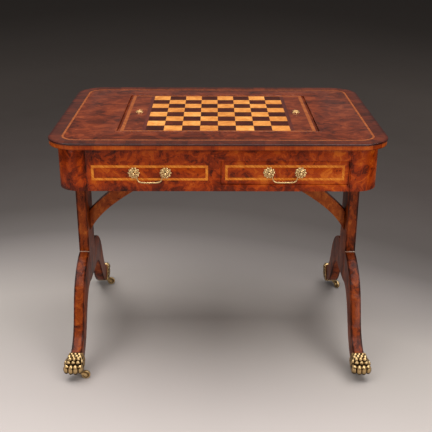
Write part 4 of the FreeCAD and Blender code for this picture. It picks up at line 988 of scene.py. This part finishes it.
def locks_of_fur(core):
    """Drops laid on the plain paw where each ray meets it, and a thin rim round its mouth."""
    surface = BVHTree.FromBMesh(core)
    draw = random.Random(11)
    upright = Matrix((Vector((1, 0, 0)), ALONG, ACROSS)).transposed().to_4x4()
    rim = MOUTH + ALONG * 0.0014
    yield rim, (0.0186, 0.0016, 0.0016), upright
    for side in (-1, 1):
        yield rim - ACROSS * 0.0315 + Vector((side * 0.0180, 0, 0)), (0.0014, 0.0016, 0.0315), upright
    for down, sideways, low, ray, (wide, thick, long) in fur_rays():
        start = MOUTH + ALONG * (down + draw.uniform(-0.001, 0.001)) - ACROSS * low + Vector((sideways, 0, 0))
        spot, proud, _, _ = surface.ray_cast(start, ray)
        if spot is None or spot.z < FUR_ENDS:
            continue
        run = (ALONG - proud * ALONG.dot(proud)).normalized()
        lean = Matrix.Rotation(draw.uniform(-0.3, 0.3), 4, proud)
        grow = draw.uniform(0.88, 1.12)
        turn = lean @ Matrix((proud.cross(run), proud, run)).transposed().to_4x4()
        yield spot, (wide * grow, thick * grow, long), turn


print("fur:", len(list(fur_rays())), "rays")

# %% One casting, set under each leg
PAW_GRAIN = 0.00115  # size of a voxel


def core_paw():
    """The plain front right paw, cut out of its node's mesh."""
    shape = welded("paws")
    others = [v for v in shape.verts if v.co.x < 0 or v.co.y > 0]
    bmesh.ops.delete(shape, geom=others, context="VERTS")
    bmesh.ops.triangulate(shape, faces=shape.faces)
    return shape


def make_paw():
    shapes = [core_paw()]
    shapes += [ball(centre, radii) for centre, radii in toe_balls()]
    shapes += [ball(centre, radii, turn, 8) for centre, radii, turn in locks_of_fur(shapes[0])]
    low = min(v.co.z for v in shapes[0].verts)
    melted = modified(gather(shapes, "paw"), ("REMESH", {"mode": "VOXEL", "voxel_size": PAW_GRAIN}),
                      ("SMOOTH", {"factor": 0.5, "iterations": 2}))
    for vertex in melted.vertices:
        vertex.co.z = max(vertex.co.z, low)
    melted.shade_smooth()
    mark_hollows_and_shade(melted, (5, 0.0004), (25, 0.0011), underside_shade=0.9)
    return melted


paw = make_paw()
print("paw:", len(paw.polygons), "faces")
for corner in ("front_right", "front_left", "back_right", "back_left"):
    mirror = Matrix.Diagonal((-1 if "left" in corner else 1, -1 if "back" in corner else 1, 1, 1))
    finished("paw_" + corner, placed(paw, mirror), brass, body_of["paws"], "brass", ["paws"])

# %% [markdown]
# ## Casters
#
# A wheel is turned from the bar, with raised rings round its hub on both sides. Its axle comes from
# the joint that it spins on, so the turning is laid on that axis. The forks keep their shape and only
# lose their sharp edges.

# %% Wheels and forks
WHEEL_SIDE = ((2.05, 4.4), (3.9, 4.4), (4.4, 3.7), (5.4, 3.6), (5.9, 4.3), (7.2, 4.4), (7.7, 3.7),
              (9.3, 3.6), (9.8, 4.2), (11.6, 4.4), (12.6, 4.1), (13.5, 3.1), (13.95, 1.4))
MM = 0.001  # a millimetre; the wheel's pairs of radius and half width are in them


def make_wheel():
    side = [(radius * MM, out * MM) for radius, out in WHEEL_SIDE]
    ring = side + [(radius, -out) for radius, out in reversed(side)]
    shape = turned(ring + ring[:1], 48)
    bmesh.ops.remove_doubles(shape, verts=shape.verts, dist=WELD)
    bmesh.ops.recalc_face_normals(shape, faces=shape.faces)
    mesh = gather([shape], "wheel")
    mark_hollows_and_shade(mesh, (2, 0.0003), underside_shade=0.2)
    return mesh


wheel = make_wheel()
for joint in frame["joints"]:
    if joint["name"].startswith("wheel_"):
        node = "caster_" + joint["child"]
        spin = Vector((0, -1, 0)).rotation_difference(Vector(joint["axis"])).to_matrix().to_4x4()
        turn = Matrix.Translation(joint["pos_m"]) @ spin
        finished(node + "_turned", placed(wheel, turn), brass, joint["child"], "brass", [node])
        print(node, "spins at", joint["pos_m"])
for node in [name for name in nodes if name.startswith("caster_fork_")]:
    soften(node, 0.0005, brass, 2)

# %% [markdown]
# ## Lifts
#
# The board comes out by two small rings, each in a staple on a chased plate. The plate is let in flush:
# a star of leaves on two crossing arms, with a screw at each end of the longer one. The staple has to
# clear its ring, so it is cut off the plain plate and used as it is; the rings only lose their sharp
# edges.

# %% Chased plates under the lifting rings
LIFT_TOP = 0.762  # face of the board
PLAIN_TOP = 0.76325  # just above the plain plates
PLATE_INNER = 0.232  # inner end of a plate, from the middle of the board
STAPLE = 0.2363  # middle of a staple, from there


def staples():
    """What stands above the plain plates, closed underneath."""
    shape = welded("lift_plates")
    cut = bmesh.ops.bisect_plane(shape, geom=shape.verts[:] + shape.edges[:] + shape.faces[:], dist=1e-6,
                                 plane_co=(0, 0, PLAIN_TOP), plane_no=(0, 0, 1), clear_inner=True)
    rim = [edge for edge in cut["geom_cut"] if isinstance(edge, bmesh.types.BMEdge)]
    bmesh.ops.holes_fill(shape, edges=rim)
    print("staples:", len(shape.faces), "faces")
    return shape


def make_lift_plate():
    leaf = gather([ball((0, -0.0001, 0), (0.0042, 0.0011, 0.0021), rows=8)], "leaf")
    star = petal_ring.run(leaf, Count=8, Radius=0.0062)
    boss = turned([(0, 0), (0.0046, 0), (0.0044, 0.0007), (0.0030, 0.0010), (0, 0.0011)], 24)
    flat = Matrix.Rotation(-math.pi / 2, 4, "X")
    shapes = [boss, as_shape(star)]
    for shape in shapes:
        shape.transform(flat)
    for half_x, half_y in ((0.0120, 0.0024), (0.0026, 0.0150)):
        shapes.append(ball((0, 0, 0), (half_x, half_y, 0.0010), rows=10))
    shapes += [ball((0, side * 0.0125, 0.0006), (0.0017, 0.0017, 0.0010), rows=6) for side in (-1, 1)]
    mesh = gather(shapes, "lift_plate")
    mark_hollows_and_shade(mesh, (3, 0.0003))
    return mesh


def make_lifts():
    middle = (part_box("lift_plates")[1][0] + PLATE_INNER) / 2
    plate = make_lift_plate()
    shapes = [as_shape(placed(plate, Matrix.Translation((side * middle, 0, LIFT_TOP)))) for side in (-1, 1)]
    feet = [ball((side * STAPLE, 0, LIFT_TOP), (0.0048, 0.0052, 0.0011), rows=10) for side in (-1, 1)]
    mesh = gather(shapes + feet + [staples()], "lift_plates_chased")
    finished("lift_plates_chased", mesh, rubbed_brass, "board", "brass", ["lift_plates"])
    print("lifts:", len(mesh.polygons), "faces")


make_lifts()
for node in ("lift_ring_left", "lift_ring_right"):
    soften(node, 0.0003, rubbed_brass, 2)

# %% [markdown]
# ## Hip beads
#
# Where each leg springs from its post a thin bead runs across the front. Its strong coat catches the
# light, and its pale colour is a painted highlight. It is a short rod from the lathe, laid along X with
# its middle at the face of the post, so half of it is seen.

# %% A bead across every hip
HIP_BEAD, BEAD_HALF = 0.0018, 0.0160  # radius and half length
BEAD_PROUD = 0.0005  # its middle, in front of the post
HIP_HEIGHT = 0.3093
HIP_SIDE = ((0, -BEAD_HALF), (HIP_BEAD * 0.6, -BEAD_HALF), (HIP_BEAD, HIP_BEAD * 0.6 - BEAD_HALF),
            (HIP_BEAD, BEAD_HALF - HIP_BEAD * 0.6), (HIP_BEAD * 0.6, BEAD_HALF), (0, BEAD_HALF))


def make_bead_finish():
    finish = Finish("polished_bead")
    grain = finish.noise(finish.place, 300.0, 3.0)
    # painted highlight: the bead's pale colour
    colour = finish.ramp(grain, *tones((0.3, 128, 96, 78), (0.7, 176, 144, 122)))
    return lacquered(finish, colour, grain, coat=1.0)


def make_hip_beads():
    """Round beads, sunk by half, at the four hips."""
    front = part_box("posts")[1][1] + BEAD_PROUD
    beads = []
    for x_side in (-1, 1):
        for y_side in (-1, 1):
            shape = turned(HIP_SIDE, 16)
            place = Matrix.Translation((x_side * LEG_MIDDLE, y_side * front, HIP_HEIGHT))
            shape.transform(place @ Matrix.Rotation(math.pi / 2, 4, "Z"))
            beads.append(shape)
    return finished("hip_beads", gather(beads, "hip_beads"), make_bead_finish(), "table", "mahogany")


print(make_hip_beads().name, "on the table")

# %% [markdown]
# ## Floor and light
#
# The table stands on a plain pale floor. The fall-off of the light to grey behind it, and towards the
# sides, is painted into the floor's own colour. A large soft lamp hangs over the table and draws its
# shadow straight below; a second one in front on the right models the legs, and a weaker one on the
# left opens the shadows.

# %% Floor
FLOOR_HALF = 30.0  # half of its side
NEAREST, DEPTH = 1.0, 11.0  # the fall-off starts this far in front and is this deep
FLOOR_TONES = tones(
    (0.03, 186, 177, 172), (0.055, 180, 171, 166), (0.085, 171, 163, 157), (0.109, 165, 157, 151),
    (0.136, 136, 129, 125), (0.164, 97, 91, 88), (0.191, 78, 72, 69), (0.273, 69, 62, 59),
    (0.364, 69, 62, 58), (0.50, 80, 72, 67), (0.682, 80, 72, 67), (0.909, 72, 64, 59))


def make_floor():
    finish = Finish("studio_floor")
    x, y, _ = finish.axes(finish.place)
    # painted fall-off of the light: darker behind the table, towards the sides, and most to the right
    away = y + x * 0.28 + x * x * 0.32
    shade = finish.ramp((away + NEAREST) / DEPTH, *FLOOR_TONES)
    speckle = finish.noise(finish.place, 6.0, 3.0)
    colour = finish.mix(speckle * 0.05, shade, tone(120, 116, 112))
    mesh = bpy.data.meshes.new("floor")
    corners = [(x * FLOOR_HALF, y * FLOOR_HALF, 0) for x, y in ((-1, -1), (1, -1), (1, 1), (-1, 1))]
    mesh.from_pydata(corners, [], [(0, 1, 2, 3)])
    mesh.materials.append(finish.surface(colour, 0.75, specular_ior_level=0.1))
    stand("floor", mesh)


make_floor()
print("floor:", 2 * FLOOR_HALF, "m wide")

# %% Lamps
def softbox(name, place, height, size, power):
    """A rectangular lamp, turned to the table's middle at some height; its power is in watts."""
    lamp = bpy.data.lights.new(name, "AREA")
    lamp.shape, lamp.size, lamp.size_y = "RECTANGLE", *size
    lamp.energy = power
    thing = stand(name, lamp)
    thing.location = place
    thing.rotation_euler = (Vector((0, 0, height)) - Vector(place)).to_track_quat("-Z", "Y").to_euler()


softbox("overhead", (0.0, -0.2, 3.3), 0.40, (4.8, 3.4), 215)
softbox("front", (2.1, -3.4, 1.9), 0.45, (2.4, 2.0), 68)
softbox("left", (-2.8, -2.8, 1.6), 0.45, (1.8, 2.2), 26)
print("lamps:", [lamp.name for lamp in bpy.data.lights])

# %% Sky
SKY_LIGHT = 0.20  # strength of the even light from all round
ROOM = (0.10, 0.095, 0.092, 1.0)  # what the camera and the gloss see in its place


def make_sky():
    """Even light all round, and a dark grey room where it is looked at or mirrored."""
    world = bpy.data.worlds.new("studio")
    bpy.context.scene.world = world
    world.use_nodes = True
    sky = Graph(world.node_tree)
    sky.tree.nodes.clear()
    seen = sky.node("ShaderNodeLightPath", output="Is Camera Ray")
    mirrored = sky.node("ShaderNodeLightPath", output="Is Glossy Ray")
    light = sky.node("ShaderNodeBackground", inputs={"Color": (1.0,) * 4, "Strength": SKY_LIGHT})
    room = sky.node("ShaderNodeBackground", inputs={"Color": ROOM, "Strength": 1.0})
    either = sky.node("ShaderNodeMixShader", inputs={0: seen.at_least(mirrored), 1: light, 2: room})
    sky.node("ShaderNodeOutputWorld", inputs={"Surface": either})
    print("sky:", world.name, "at strength", SKY_LIGHT)


make_sky()

# %% [markdown]
# ## Camera
#
# The camera stands a little above the table and looks down at it. Its place and its three turns are
# plain numbers, and its focal length is known in pixels of a picture 432 pixels wide.

# %% Camera
CAMERA_PLACE = (-0.01307, -2.34428, 1.37102)
PITCH, YAW, ROLL = (math.radians(angle) for angle in (22.23, 0.21, 0.16))
FOCAL_PIXELS, PICTURE_PIXELS = 771.82, 432
SENSOR = 36.0  # millimetres


def make_camera():
    camera = bpy.data.cameras.new("camera")
    camera.sensor_width, camera.lens = SENSOR, FOCAL_PIXELS * SENSOR / PICTURE_PIXELS
    thing = stand("camera", camera)
    ahead = Vector((math.sin(YAW) * math.cos(PITCH), math.cos(YAW) * math.cos(PITCH), -math.sin(PITCH)))
    level = Vector((math.cos(YAW), -math.sin(YAW), 0))
    upright = level.cross(ahead)
    right = level * math.cos(ROLL) + upright * math.sin(ROLL)
    up = upright * math.cos(ROLL) - level * math.sin(ROLL)
    turn = Matrix((right, up, -ahead)).transposed().to_4x4()
    thing.matrix_world = Matrix.Translation(CAMERA_PLACE) @ turn
    bpy.context.scene.camera = thing
    print("camera:", round(camera.lens, 2), "mm lens")


make_camera()
bpy.context.scene.view_settings.view_transform = "Standard"
